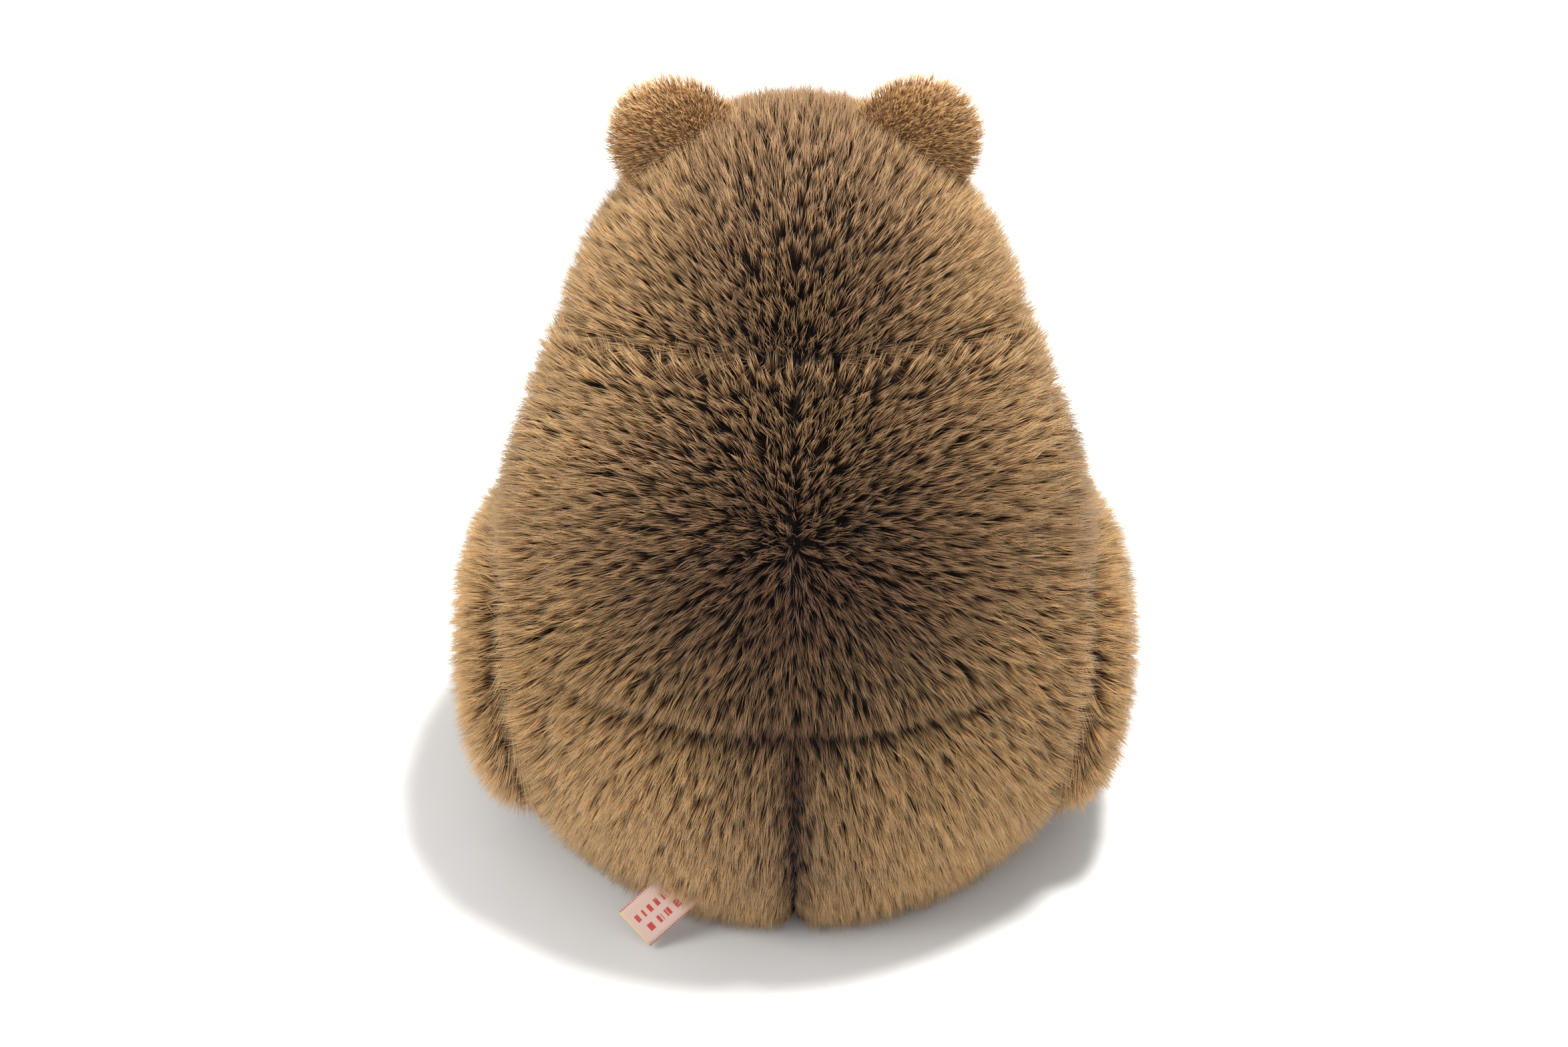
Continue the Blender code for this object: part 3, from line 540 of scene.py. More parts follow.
def make_skins():
    """One soft outer form for each body, with the face-to-panel map."""
    skins = {}
    for body, names in BODY_PANELS.items():
        mesh = outer_form([*names, body + "_stuffing"], SKIN_VOXEL, SKIN_SMOOTHING)
        panels = nearest_panel(mesh, names)
        holder = put("skin_" + body, mesh)
        points, _, _ = arrays(mesh)
        held = joint_faces(points, body) | (points[:, 2] < RESTING_HEIGHT)
        for polygon, (_, margin) in zip(mesh.polygons, panels):
            if margin < SEAM_HOLD:
                held[list(polygon.vertices)] = True
        group = holder.vertex_groups.new(name="held")
        group.add([int(i) for i in np.nonzero(held)[0]], 1.0, "REPLACE")
        skins[body] = {"object": holder, "mesh": mesh, "panels": panels}
    simulate_swelling(skins)
    for body, skin in skins.items():
        points, _, _ = arrays(skin["mesh"])
        points = filled_joints(points, body)
        points[:, 2] = np.maximum(points[:, 2], FLOOR_CLEARANCE)
        skin["mesh"].vertices.foreach_set("co", points.ravel())
        skin["mesh"].update()
    return skins


def panel_mesh(mesh, chosen):
    """The chosen faces of a mesh as a mesh of their own."""
    bm = bmesh.new()
    bm.from_mesh(mesh)
    bm.faces.ensure_lookup_table()
    chosen = set(chosen)
    bmesh.ops.delete(bm, geom=[f for f in bm.faces if f.index not in chosen], context="FACES")
    part = bpy.data.meshes.new("panel")
    bm.to_mesh(part)
    bm.free()
    part.shade_smooth()
    return part


def show_panel(name, mesh, body, material, node):
    piece = show(name, mesh, body, material)
    shell = piece.modifiers.new("thickness", "SOLIDIFY")
    shell.thickness = SKIN_THICKNESS
    shell.offset = -1
    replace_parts(piece, node)


# ---- pile ----


def unit(vectors):
    return vectors / np.maximum(np.linalg.norm(vectors, axis=-1, keepdims=True), 1e-12)


def ramp_between(value, low, high):
    t = np.clip((value - low) / (high - low), 0, 1)
    return t * t * (3 - 2 * t)


def scatter(mesh, spacing, rng):
    """Evenly scattered places on a mesh with their normals, as (points, normals)."""
    points, triangles, normals = arrays(mesh)
    a, b, c = (points[triangles[:, i]] for i in range(3))
    area = np.linalg.norm(np.cross(b - a, c - a), axis=1) / 2
    count = int(area.sum() / spacing**2 * 5)
    chosen = rng.choice(len(triangles), count, p=area / area.sum())
    u, v = rng.random(count), rng.random(count)
    fold = u + v > 1
    u[fold], v[fold] = 1 - u[fold], 1 - v[fold]
    w = 1 - u - v
    place = a[chosen] * w[:, None] + b[chosen] * u[:, None] + c[chosen] * v[:, None]
    corner = normals[triangles[chosen]]
    normal = unit(corner[:, 0] * w[:, None] + corner[:, 1] * u[:, None] + corner[:, 2] * v[:, None])
    cell = np.floor(place / (spacing * 1.08)).astype(np.int64)
    _, first = np.unique(cell, axis=0, return_index=True)
    first.sort()
    return place[first], normal[first]


def strands_from(place, normal, look, spacing, per_tuft, rng):
    """Root, middle and tip of each strand, its colours, and its thickness as a share of the pile's radius.
    look holds each tuft's comb direction, length, lean, bend, clump and tone."""
    tufts = len(place)
    comb = look["comb"] + rng.normal(0, COMB_SCATTER, (tufts, 3))
    comb = unit(comb - (comb * normal).sum(1, keepdims=True) * normal)
    length = look["length"] * rng.uniform(0.85, 1.12, tufts)
    tone = rng.random(tufts)
    owner = np.repeat(np.arange(tufts), per_tuft)
    count = len(owner)
    across = np.cross(normal, comb)
    radius = TUFT_RADIUS * spacing / TUFT_SPACING * np.sqrt(rng.random(count))
    turn = rng.uniform(0, 2 * np.pi, count)
    offset = comb[owner] * np.cos(turn)[:, None] + across[owner] * np.sin(turn)[:, None]
    offset = offset * radius[:, None]
    way = unit(comb[owner] + across[owner] * rng.normal(0, 0.20, (count, 1)))
    own_length = length[owner] * rng.uniform(0.72, 1.06, count)
    guard = rng.random(count) < GUARD_SHARE
    own_length[guard] *= GUARD_LENGTH
    lean = look["lean"][owner] + rng.normal(0, LEAN_SCATTER, count)
    bend = look["bend"][owner]

    def path(start, up, along, tilt, curl, reach):
        """Three points of a strand that leans further towards its tip."""
        first = up * np.cos(tilt)[:, None] + along * np.sin(tilt)[:, None]
        second = up * np.cos(tilt + curl)[:, None] + along * np.sin(tilt + curl)[:, None]
        middle = start + first * (reach * FIRST_STRETCH)[:, None]
        return start, middle, middle + second * (reach * (1 - FIRST_STRETCH))[:, None]

    root = place[owner] - normal[owner] * ROOT_DEPTH
    own = path(root + offset, normal[owner], way, lean, bend, own_length)
    shared = path(place - normal * ROOT_DEPTH, normal, comb, look["lean"], look["bend"], length)
    pull = look["clump"][owner] * rng.uniform(0.7, 1.0, count)
    pull[guard] *= 0.3
    points = np.empty((count, 3, 3))
    for i, share in enumerate((0, BEND_CLUMP, 1)):
        weight = (pull * share)[:, None]
        target = shared[i][owner] + offset * 0.12
        points[:, i] = own[i] * (1 - weight) + target * weight
    colours = np.empty((count, 4))
    colours[:, 1] = tone[owner]
    # Guard hairs are painted paler and more golden: a painted glint.
    colours[:, 2] = np.where(guard, GUARD_GLINT_TONE, rng.random(count))
    colours[:, 3] = np.clip(look["tone"][owner] + np.where(guard, 0.25, 0), 0, 1)
    thickness = np.where(guard, 0.6, 1.0) * rng.uniform(0.8, 1.15, count)
    return points, colours, thickness


def pile_mesh(name, points, colours, thickness, radius):
    """Each strand as a three-sided spike, closed at its root, with its own patch of the bake's map."""
    count = len(points)
    along = unit(points[:, 2] - points[:, 0])
    side = unit(np.cross(along, np.array([0.31, 0.82, 0.48])))
    other = np.cross(along, side)
    vertices = np.empty((count, 7, 3))
    for k in range(3):
        angle = 2 * math.pi * k / 3
        out = side * math.cos(angle) + other * math.sin(angle)
        vertices[:, k] = points[:, 0] + out * (radius * thickness)[:, None]
        vertices[:, 3 + k] = points[:, 1] + out * (radius * 0.9 * thickness)[:, None]
    vertices[:, 6] = points[:, 2]
    vertices[..., 2] = np.maximum(vertices[..., 2], FLOOR_CLEARANCE)
    quads = np.array([[k, (k + 1) % 3, 3 + (k + 1) % 3, 3 + k] for k in range(3)])
    tips = np.array([[3 + k, 3 + (k + 1) % 3, 6] for k in range(3)])
    pattern = np.concatenate([quads.ravel(), tips.ravel(), [2, 1, 0]])
    sizes = np.array([4, 4, 4, 3, 3, 3, 3])
    base = np.arange(count)[:, None] * 7
    loops = (base + pattern[None, :]).ravel()
    totals = np.tile(sizes, count)
    starts = np.concatenate([[0], np.cumsum(totals)[:-1]])
    mesh = bpy.data.meshes.new(name)
    mesh.vertices.add(count * 7)
    mesh.vertices.foreach_set("co", vertices.ravel())
    mesh.loops.add(len(loops))
    mesh.loops.foreach_set("vertex_index", loops.astype(np.int32))
    mesh.polygons.add(len(totals))
    mesh.polygons.foreach_set("loop_start", starts.astype(np.int32))
    mesh.polygons.foreach_set("loop_total", totals.astype(np.int32))
    mesh.update(calc_edges=True)
    mesh.shade_smooth()

    pile = mesh.attributes.new("pile", "FLOAT_COLOR", "POINT")
    values = np.repeat(colours[:, None, :], 7, axis=1)
    values[..., 0] = np.array([0] * 3 + [FIRST_STRETCH] * 3 + [1])
    pile.data.foreach_set("color", values.astype(np.float32).ravel())

    cells = math.ceil(math.sqrt(count))
    place = np.stack([np.arange(count) % cells, np.arange(count) // cells], axis=1)
    corner = []
    for k in range(3):
        corner += [(k / 3, 0), ((k + 1) / 3, 0), ((k + 1) / 3, 0.55), (k / 3, 0.55)]
    for k in range(3):
        corner += [(k / 3, 0.55), ((k + 1) / 3, 0.55), ((k + 0.5) / 3, 1)]
    corner += [(0.1, 0.02), (0.5, 0.02), (0.9, 0.02)]
    corner = 0.08 + 0.84 * np.array(corner)
    spots = (place[:, None, :] + corner[None, :, :]) / cells
    layer = mesh.uv_layers.new(name="OFBake")
    layer.data.foreach_set("uv", spots.astype(np.float32).ravel())
    return mesh


def grow_pile(name, mesh, body, field, material, slot, spacing=TUFT_SPACING, per_tuft=STRANDS_PER_TUFT,
              radius=STRAND_RADIUS, seed=1):
    rng = np.random.default_rng(seed)
    place, normal = scatter(mesh, spacing, rng)
    look = field(place, normal)
    keep = look["length"] > SHAVED
    place, normal = place[keep], normal[keep]
    look = {key: value[keep] for key, value in look.items()}
    parts = strands_from(place, normal, look, spacing, per_tuft, rng)
    pieces = math.ceil(len(parts[0]) / MOST_STRANDS)
    for number in range(pieces):
        share = slice(number * len(parts[0]) // pieces, (number + 1) * len(parts[0]) // pieces)
        label = name if pieces == 1 else f"{name}_{number + 1}"
        fur = show(label, pile_mesh(label, *[part[share] for part in parts], radius), body, material)


def look_of(place, comb, length, lean, bend=0.30, clump=0.56, tone=1.0):
    """What strands_from needs to know of each tuft. Only comb has a value of its own for each already."""
    count = len(place)
    full = {"comb": comb, "length": length, "lean": lean, "bend": bend, "clump": clump, "tone": tone}
    return {key: value if key == "comb" else np.broadcast_to(value, count).astype(float).copy()
            for key, value in full.items()}


def without_joint_faces(look, place, normal, body):
    look["length"][joint_faces(place, body, normal)] = 0
    return look


def drawn_over_joints(comb, lean, length, place, body):
    """Pile at the edge of a joint lies over the gap beside it, as if the body were one."""
    for name, joint in joints.items():
        if body not in (joint["parent"], joint["child"]) or (name == "neck" and body == "head"):
            continue
        start = np.array(joint["pos_m"])
        outward = np.array(joint["axis"])
        if name != "neck" and outward[0] * start[0] < 0:
            outward = -outward
        offset = place - start
        height = offset @ outward
        radius = np.linalg.norm(offset - height[:, None] * outward, axis=1)
        kind = name.split("_")[0]
        near = (1 - ramp_between(np.abs(height), EDGE_START, EDGE_WIDTH)) * (radius < EDGE_REACH[kind])
        way = outward if body == joint["parent"] else -outward
        share = EDGE_SHARE[kind]
        comb = comb + EDGE_COMB * share * near[:, None] * way
        lean = lean + EDGE_LEAN * share * near
        length = length * (1 + EDGE_LENGTH * share * near)
    return comb, lean, length


SWIRL = np.array([0, 0.070, 0.154])  # on the upper back: the pile leans away from here
CROSS_SEAM = 0.104  # height of the seam between back and rump
CROSS_WIDTH = 0.0032  # half width of its furrow
CROSS_OVERHANG = 0.006  # the pile that falls over it grows this far above it
CREASE_WIDTH = 0.0036  # half width of the furrow at the centre-back seam
FURROW_DEPTH = 0.46  # share of the pile's length lost in a furrow
# The dark patch on the upper back: painted shade, in part the pile's own darker colour.
DARK_PATCH_HEIGHT = 0.148
DARK_PATCH_HALF_WIDTH = 0.050
DARK_PATCH_HALF_HEIGHT = 0.036
UNDERSIDE = -0.8  # a normal's z below this faces the floor
FLATTENED = 0.7  # share of the pile's length lost there


def torso_field(place, normal):
    """The torso's pile: away from the swirl, parted at the centre, furrowed at seams with painted shade in
    the furrows, and dark on the back: painted shade on the upper back and its patch, in part the pile's own
    darker colour, and a darker strip down the middle of the lower back.
    """
    x, y, z = place.T
    away = place - SWIRL
    distance = np.linalg.norm(away, axis=1)
    comb = unit(away) + np.array([0, 0, -0.10])
    on_back = ramp_between(y, 0.020, 0.050)
    low = 1 - ramp_between(z, 0.030, 0.090)
    comb[:, 2] -= 0.8 * low
    parting = np.sign(x) * np.exp(-np.abs(x) / 0.008) * on_back
    comb[:, 0] += 0.9 * parting * (0.4 + 0.6 * low)
    lean = np.radians(7 + 13 * ramp_between(distance, 0.02, 0.11) + 6 * low)
    length = PILE_LENGTH * (1 - FLATTENED * (normal[:, 2] < UNDERSIDE))
    crease = np.exp(-((x / CREASE_WIDTH) ** 2)) * on_back * (1 - ramp_between(z, 0.085, 0.115))
    wide = 1 - ramp_between(np.abs(x), 0.045, 0.075)
    cross = np.exp(-(((z - CROSS_SEAM) / CROSS_WIDTH) ** 2)) * on_back * wide
    above = np.exp(-(((z - CROSS_SEAM - CROSS_OVERHANG) / 0.004) ** 2)) * on_back * wide
    comb[:, 2] -= 1.2 * above
    lean = lean + np.radians(10) * above
    furrow = np.maximum(crease, 0.85 * cross)
    length = length * (1 - FURROW_DEPTH * furrow)
    # The dark patch: painted shade, in part the pile's own darker colour.
    rise = (z - DARK_PATCH_HEIGHT) / DARK_PATCH_HALF_HEIGHT
    patch = np.exp(-((x / DARK_PATCH_HALF_WIDTH) ** 2) - rise**2) * on_back
    strip = 0.40 * np.exp(-((x / 0.022) ** 2)) * on_back * (1 - ramp_between(z, 0.100, 0.130))
    # Painted shade on the upper torso, less towards the sides, in part the pile's own darker colour.
    upper_dark_pile_and_shade = ramp_between(z, 0.085, 0.150) * (0.42 - 0.20 * ramp_between(np.abs(x), 0.030, 0.075))
    gold = 0.98 - 0.86 * patch - strip * ramp_between(z, 0.012, 0.045) - upper_dark_pile_and_shade * (1 - patch)
    comb, lean, length = drawn_over_joints(comb, lean, length, place, "torso")
    # The furrows' pile is darkened: painted shade in the seams' creases.
    look = look_of(place, comb, length, lean, tone=np.clip(gold - 0.5 * furrow, 0, 1))
    return without_joint_faces(look, place, normal, "torso")


HEAD_MIDDLE = np.mean(np.array(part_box("head_stuffing")), axis=0)
NOSE = np.mean(np.array(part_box("nose")), axis=0)
EYES = {side: np.mean(np.array(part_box("eye_" + side)), axis=0) for side in ("left", "right")}
EYE_BARE = 0.0068  # no pile nearer to an eye's middle
EYE_SOCKET = 0.0075
EYE_RING = 0.018  # the pile is shorter up to here


def head_field(place, normal):
    """The head's pile: away from the swirl behind, away from the nose in front, and short round the eyes."""
    front = 1 - ramp_between(place[:, 1], -0.070, -0.025)[:, None]
    comb = unit(place - SWIRL) * (1 - front) + unit(place - NOSE + np.array([0, 0.01, 0.02])) * front
    front = front[:, 0]
    length = PILE_LENGTH * (0.95 - 0.45 * front)
    lean = np.radians(12 + 22 * front)
    for eye in EYES.values():
        offset = place - eye
        distance = np.linalg.norm(offset, axis=1)
        near = 1 - ramp_between(distance, EYE_SOCKET, EYE_RING)
        comb += unit(offset) * (near * 2.2)[:, None]
        lean = lean + np.radians(16) * near
        length = np.where(distance < EYE_BARE, 0, length * (1 - 0.45 * near))
    gold = 0.36 + 0.34 * ramp_between(np.abs(place[:, 0]), 0.015, 0.052)
    look = look_of(place, comb, length, lean, clump=0.45, tone=gold)
    return without_joint_faces(look, place, normal, "head")


def arm_field(body):
    """An arm's pile runs from the shoulder to the paw, and is short round the pad."""

    def field(place, normal):
        joint = joints["shoulder_" + body.split("_")[1]]
        start = np.array(joint["pos_m"])
        hand = np.mean(np.array(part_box("paw_pad_" + body.split("_")[1])), axis=0)
        comb = np.broadcast_to(unit(hand - start), place.shape) + 0.5 * unit(place - start)
        comb = comb + np.array([0, 0, -0.25])
        length = np.full(len(place), PILE_LENGTH * 0.85)
        pad = np.linalg.norm(place - hand, axis=1)
        length = length * (0.45 + 0.55 * ramp_between(pad, 0.012, 0.024))
        comb, lean, length = drawn_over_joints(comb, math.radians(26), length, place, body)
        look = look_of(place, comb, length, lean, tone=0.95)
        return without_joint_faces(look, place, normal, body)

    return field


def leg_field(body):
    """A leg's pile carries on from the torso's, and is short round the sole."""

    def field(place, normal):
        side = 1 if body.endswith("left") else -1
        sole = np.mean(np.array(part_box("sole_pad_" + body.split("_")[1])), axis=0)
        away = unit(place - SWIRL)
        rear = ramp_between(place[:, 1], -0.050, 0.020)
        low = 1 - ramp_between(place[:, 2], 0.030, 0.090)
        outward = np.full(len(place), 0.25 * side)
        comb = away + np.stack([outward, -0.5 + 0.5 * rear, -0.2 - 0.7 * low], axis=1)
        toe = ramp_between(np.abs(place[:, 1] - sole[1]), 0.004, 0.025)
        length = PILE_LENGTH * (0.45 + 0.55 * toe)
        length = length * (1 - FLATTENED * (normal[:, 2] < UNDERSIDE))
        comb, lean, length = drawn_over_joints(comb, np.radians(16 + 8 * low), length, place, body)
        look = look_of(place, comb, length, lean, tone=1.0)
        return without_joint_faces(look, place, normal, body)

    return field


def ear_field(place, normal):
    comb = unit(place - HEAD_MIDDLE)
    edge = ramp_between(np.linalg.norm(place - HEAD_MIDDLE, axis=1), 0.058, 0.080)
    return look_of(place, comb, SHORT_PILE, math.radians(20), 0.3, 0.10, tone=0.40 + 0.6 * edge)


STITCH_RADIUS = 0.00048
STITCH_RISE = 0.0007  # of a thread's middle above the cloth
STITCH_PARTING = 0.0011  # pile nearer to a stitch is clipped
STITCH_PILE = 0.0014  # to this length


def mouth_lines():
    """The stitched mouth, from the nose down and out to each side, as points in front of the muzzle."""
    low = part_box("nose")[0][2] + 0.0015
    middle = [(0, low - 0.0010 * step) for step in range(8)]
    end = middle[-1][1]
    sides = [[(side * 0.0013 * step, end - 0.0004 * step + 0.00011 * step**2) for step in range(10)]
             for side in (1, -1)]
    return [middle, *sides]


def muzzle_field(place, normal):
    comb = place - NOSE + np.array([0, 0.02, -0.004])
    look = look_of(place, comb, SHORT_PILE * 0.62, math.radians(42), 0.25, 0.3, tone=0.8)
    for line in mouth_lines():
        for x, z in line:
            near = np.hypot(place[:, 0] - x, place[:, 2] - z) < STITCH_PARTING
            look["length"][near & (place[:, 1] < NOSE[1] + 0.03)] = STITCH_PILE
    return look


def body_field(body):
    if body == "torso":
        return torso_field
    if body == "head":
        return head_field
    return arm_field(body) if body.startswith("arm") else leg_field(body)


def make_body_cover():
    skins = make_skins()
    seed = BODY_SEED
    for body, skin in skins.items():
        for number, node in enumerate(BODY_PANELS[body]):
            faces = [i for i, (panel, _) in enumerate(skin["panels"]) if panel == number]
            mesh = panel_mesh(skin["mesh"], faces)
            padded_cloth = "pad" in node
            show_panel(node + "_skin", mesh, body, SUEDE if padded_cloth else BACKING, node)
            seed += 1
            if not padded_cloth:
                sparse = SPARSE if node == "torso_front" or body.startswith("arm") else {}
                grow_pile(node + "_pile", mesh, body, body_field(body), GOLD, "plush", seed=seed, **sparse)
        bpy.data.objects.remove(skin["object"])


def make_trim():
    for seed, node in enumerate(TRIM):
        mesh = outer_form([node], TRIM_VOXEL, TRIM_SMOOTHING)
        mesh.shade_smooth()
        ear = node.startswith("ear")
        piece = show(node + "_skin", mesh, "head", EAR_BACKING if ear else MUZZLE_BACKING)
        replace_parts(piece, node)
        grow_pile(node + "_pile", mesh, "head", ear_field if ear else muzzle_field,
                  EAR_FUR if ear else MUZZLE_FUR, "plush" if ear else "muzzle_plush",
                  seed=TRIM_SEED + seed, **TRIM_PILE)


# ---- face, label and hardware ----


def finish_hardware():
    """Materials for the CAD nodes that stay as they are."""
    finishes = {"disc": fibreboard_material(), "washer": steel_material(), "stuffing": stuffing_material()}
    finishes["pin"] = finishes["washer"]
    for name, node in nodes.items():
        for word, material in finishes.items():
            if word in name:
                node.data.materials.clear()
                node.data.materials.append(material)


def node_points(name):
    return arrays(nodes[name].data)[0]


def mesh_of(name, vertices, faces):
    mesh = bpy.data.meshes.new(name)
    mesh.from_pydata([tuple(v) for v in vertices], [], faces)
    mesh.shade_smooth()
    return mesh


def capped_rings(rings, steps):
    """The faces of a form whose vertices are a point, rings of vertices, and a point at its other end."""
    faces = [(0, 1 + k, 1 + (k + 1) % steps) for k in range(steps)]
    for ring in range(rings - 1):
        a = 1 + ring * steps
        b = a + steps
        faces += [(a + k, b + k, b + (k + 1) % steps, a + (k + 1) % steps) for k in range(steps)]
    last = 1 + (rings - 1) * steps
    return faces + [(last + k, last + steps, last + (k + 1) % steps) for k in range(steps)]


def lathe(profile, origin, axis, steps=40):
    """A closed turned form: its profile is (radius, height) pairs from the top's middle to the bottom's."""
    axis = unit(axis)
    side = unit(np.cross(axis, np.array([0.2, 0.1, 1.0])))
    other = np.cross(axis, side)
    turns = 2 * np.pi * np.arange(steps) / steps
    vertices = [origin + axis * profile[0][1]]
    for radius, height in profile[1:-1]:
        middle = origin + axis * height
        vertices += [middle + radius * (side * math.cos(t) + other * math.sin(t)) for t in turns]
    vertices.append(origin + axis * profile[-1][1])
    return vertices, capped_rings(len(profile) - 2, steps)


def make_eyes():
    """Round glass eyes, flatter behind, on the CAD eyes' axes."""
    material = eye_material()
    for side in ("left", "right"):
        points = node_points("eye_" + side)
        back = np.mean(node_points("eye_washer_" + side), axis=0)
        axis = unit(np.mean(np.array(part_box("eye_" + side)), axis=0) - back)
        height = (points - back) @ axis
        radial = np.linalg.norm(points - back - height[:, None] * axis, axis=1)
        wide = radial.max()
        base = height[radial > wide * 0.98].max()
        bulge = height.max() - base
        profile = [(0, base + bulge)]
        for step in range(1, 20):
            turn = math.radians(7 * step)
            squash = 1 if turn < math.pi / 2 else 0.5
            profile.append((wide * math.sin(turn), base + bulge * math.cos(turn) * squash))
        profile.append((0, profile[-1][1]))
        vertices, faces = lathe(profile, back, axis)
        mesh = mesh_of("eye_glass_" + side, vertices, faces)
        across = mesh.attributes.new("across", "FLOAT", "POINT")
        offset = np.array(vertices) - back
        along = offset @ axis
        out = np.linalg.norm(offset - along[:, None] * axis, axis=1) / wide
        out = np.where(along < base, 1.0, out)
        across.data.foreach_set("value", out.astype(np.float32))
        piece = show("eye_glass_" + side, mesh, "head", material)
        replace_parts(piece, "eye_" + side)


NOSE_DEPTH = 0.0062  # from its middle to its front
NOSTRIL_ASIDE = 0.0042
NOSTRIL_SIZE = 0.0013
NOSTRIL_DEPTH = 0.0022
NOSE_GROOVE_WIDTH = 0.0006
NOSE_GROOVE_DEPTH = 0.0007


def make_nose():
    """A soft three-cornered nose, broad at its top, with two nostrils."""
    low, high = (np.array(corner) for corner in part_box("nose"))
    wide, tall = (high[0] - low[0]) / 2, (high[2] - low[2]) / 2
    middle = np.array([0, low[1] + NOSE_DEPTH, (low[2] + high[2]) / 2])
    bm = bmesh.new()
    bmesh.ops.create_uvsphere(bm, u_segments=48, v_segments=32, radius=1)
    for vertex in bm.verts:
        x, y, z = vertex.co
        x *= 1.0 - 0.24 * (1 - z) * 0.5 * (1 + abs(x))
        place = middle + np.array([x * wide, y * NOSE_DEPTH, z * tall * (0.94 if z > 0 else 1.0)])
        for side in (1, -1):
            away = math.hypot((place[0] - side * NOSTRIL_ASIDE) / 1.3, place[2] - middle[2] + 0.0012)
            if y < 0:
                place[1] += NOSTRIL_DEPTH * math.exp(-((away / NOSTRIL_SIZE) ** 2))
        if y < 0 and z < 0.2:
            place[1] += NOSE_GROOVE_DEPTH * math.exp(-((place[0] / NOSE_GROOVE_WIDTH) ** 2))
        vertex.co = Vector(place)
    mesh = bpy.data.meshes.new("nose_leather")
    bm.to_mesh(mesh)
    bm.free()
    mesh.shade_smooth()
    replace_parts(show("nose_leather", mesh, "head", leather_material()), "nose")


def make_mouth():
    """Stitches laid on the muzzle along the mouth's lines."""
    tree = tree_of("muzzle")
    thread = thread_material()
    for number, line in enumerate(mouth_lines()):
        path = []
        for x, z in line:
            hit, normal, _, _ = tree.ray_cast(Vector((x, -0.3, z)), Vector((0, 1, 0)))
            if hit:
                path.append(np.array(hit + normal * STITCH_RISE))
        if len(path) < 3:
            continue
        show_thread(f"mouth_stitch_{number + 1}", path, STITCH_RADIUS, "head", thread)


def show_thread(name, path, radius, body, material, sides=8):
    """A round thread along a path, rounded off at both ends."""
    path = np.array(path)
    run = unit(np.gradient(path, axis=0))
    first = unit(np.cross(run, np.array([0.05, 1.0, 0.1])))
    second = np.cross(run, first)
    vertices = [path[0] - run[0] * radius * 0.6]
    for place, a, b in zip(path, first, second):
        for k in range(sides):
            turn = 2 * math.pi * k / sides
            vertices.append(place + radius * (a * math.cos(turn) + b * math.sin(turn)))
    vertices.append(path[-1] + run[-1] * radius * 0.6)
    faces = [face[::-1] for face in capped_rings(len(path), sides)]
    show(name, mesh_of(name, vertices, faces), body, material)


RIBBON_THICKNESS = 0.00018
RIBBON_LOOP = 0.00042  # how much further half of the gap is at the fold than at the seam
RIBBON_SEAM_GAP = 0.00012  # half of the gap at the seam
RIBBON_SWAY = 0.0009
RIBBON_CURL = 0.0003  # of its long edges
RIBBON_ROWS = 24
RIBBON_COLUMNS = 9


def make_ribbon():
    """The sewn-in ribbon: one strip, folded at its free end, so that it lies double."""
    points = np.unique(np.round(node_points("label"), 6), axis=0)
    torso = np.mean(np.array(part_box("torso_stuffing")), axis=0)
    order = np.argsort(-np.linalg.norm(points - torso, axis=1))
    free, rest = points[order[:4]], points[order[4:]]
    end = free.mean(axis=0)
    spread = free - end
    across = unit(spread[np.argmax(np.linalg.norm(spread, axis=1))])
    along = end - rest.mean(axis=0)
    along = unit(along - (along @ across) * across)
    normal = np.cross(across, along)
    width = np.ptp(free @ across)
    reach = np.ptp(points @ along)
    runs = [(t, 1) for t in np.linspace(0, 1, RIBBON_ROWS)]
    runs += [(1.0, math.cos(math.radians(a))) for a in range(20, 180, 20)]
    runs += [(t, -1) for t in np.linspace(1, 0, RIBBON_ROWS)]
    rows, travelled, last = [], [0.0], None
    for t, level in runs:
        half = RIBBON_SEAM_GAP + RIBBON_LOOP * t * t
        sway = RIBBON_SWAY * math.sin(math.pi * t)
        push = RIBBON_LOOP * math.sqrt(max(0.0, 1 - level * level))
        centre = end + along * (reach * (t - 1) - RIBBON_LOOP + push) + normal * (half * level + sway)
        if last is not None:
            travelled.append(travelled[-1] + np.linalg.norm(centre - last))
        last = centre
        rows.append(centre)
    columns = RIBBON_COLUMNS
    vertices, uv = [], []
    for centre, distance in zip(rows, travelled):
        for k in range(columns):
            u = k / (columns - 1)
            vertices.append(centre + across * (u - 0.5) * width + normal * RIBBON_CURL * (2 * u - 1) ** 2)
            uv.append((u, distance / travelled[-1]))
    faces = []
    for row in range(len(rows) - 1):
        for k in range(columns - 1):
            a = row * columns + k
            faces.append((a, a + 1, a + columns + 1, a + columns))
    mesh = mesh_of("ribbon_label", vertices, faces)
    layer = mesh.uv_layers.new(name="weave")
    for loop in mesh.loops:
        layer.data[loop.index].uv = uv[loop.vertex_index]
    piece = show("ribbon_label", mesh, "torso", ribbon_material())
    shell = piece.modifiers.new("thickness", "SOLIDIFY")
    shell.thickness = RIBBON_THICKNESS
    shell.offset = 0
    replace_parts(piece, "label")


STAGE_HALF_SIZE = 6


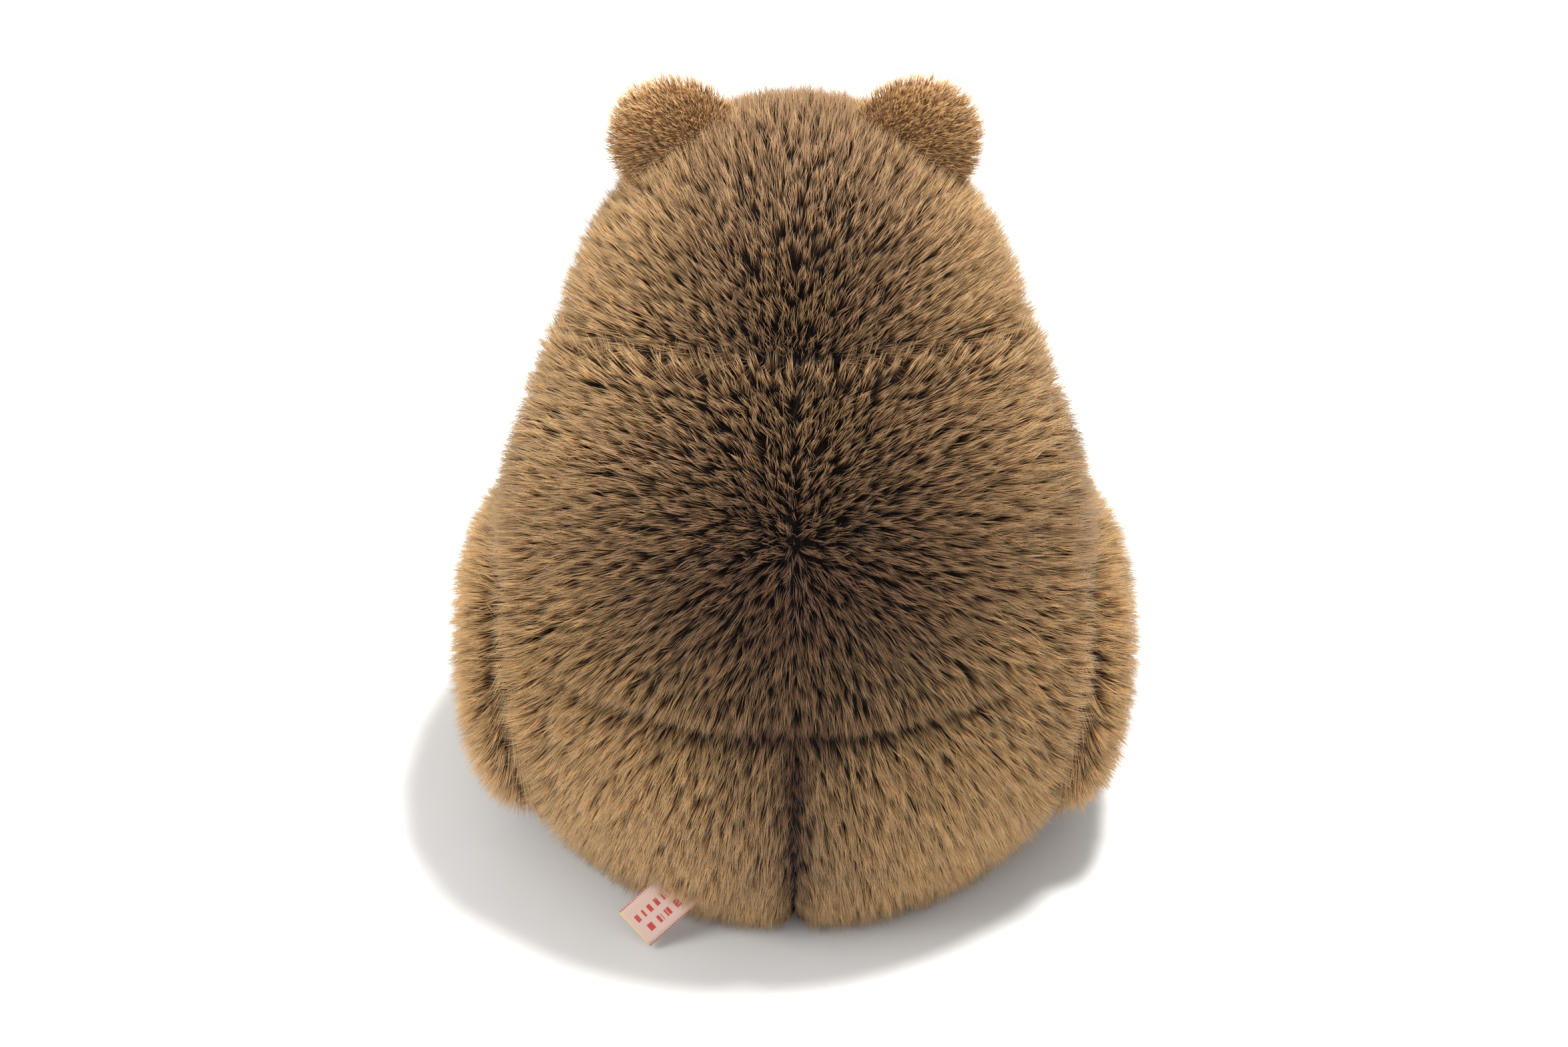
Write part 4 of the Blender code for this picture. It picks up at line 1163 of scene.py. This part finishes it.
def make_stage():
    bm = bmesh.new()
    bmesh.ops.create_grid(bm, x_segments=1, y_segments=1, size=STAGE_HALF_SIZE)
    mesh = bpy.data.meshes.new("floor")
    bm.to_mesh(mesh)
    bm.free()
    mesh.materials.append(floor_material())
    put("floor", mesh)


LIGHT_AIM = Vector((0, 0, 0.10))


def area_light(name, place, size, power, colour):
    light = bpy.data.lights.new(name, "AREA")
    light.shape = "DISK"
    light.size = size
    light.energy = power
    light.color = colour
    holder = put(name, light)
    holder.location = place
    holder.rotation_mode = "QUATERNION"
    holder.rotation_quaternion = (LIGHT_AIM - Vector(place)).to_track_quat("-Z", "Y")


def light_scene():
    """A crisp light overhead, a broad one at the side and an even white surround."""
    area_light("key", place=(-0.26, 0.03, 1.40), size=0.20, power=21, colour=(1.0, 0.98, 0.95))
    area_light("side", place=(1.05, 0.35, 0.75), size=0.7, power=7, colour=(1.0, 0.99, 0.97))
    world = bpy.data.worlds.new("studio")
    bpy.context.scene.world = world
    world.use_nodes = True
    background = world.node_tree.nodes["Background"]
    background.inputs["Color"].default_value = (1.0, 1.0, 1.0, 1)
    background.inputs["Strength"].default_value = 0.72
    bpy.context.scene.view_settings.view_transform = "Standard"


CAMERA_AIM = Vector((0.0034, 0, 0.110))
CAMERA_DISTANCE = 1.0
CAMERA_ELEVATION = math.radians(38)
CAMERA_LENS = 70.5  # millimetres
CAMERA_SENSOR = 36


def make_camera():
    camera = put("camera", bpy.data.cameras.new("camera"))
    back = Vector((0, math.cos(CAMERA_ELEVATION), math.sin(CAMERA_ELEVATION)))
    camera.location = CAMERA_AIM + back * CAMERA_DISTANCE
    camera.rotation_mode = "QUATERNION"
    camera.rotation_quaternion = (-back).to_track_quat("-Z", "Y")
    camera.data.lens = CAMERA_LENS
    camera.data.sensor_width = CAMERA_SENSOR
    bpy.context.scene.camera = camera


make_camera()
make_stage()
light_scene()
finish_hardware()
make_body_cover()
make_trim()
make_eyes()
make_nose()
make_mouth()
make_ribbon()
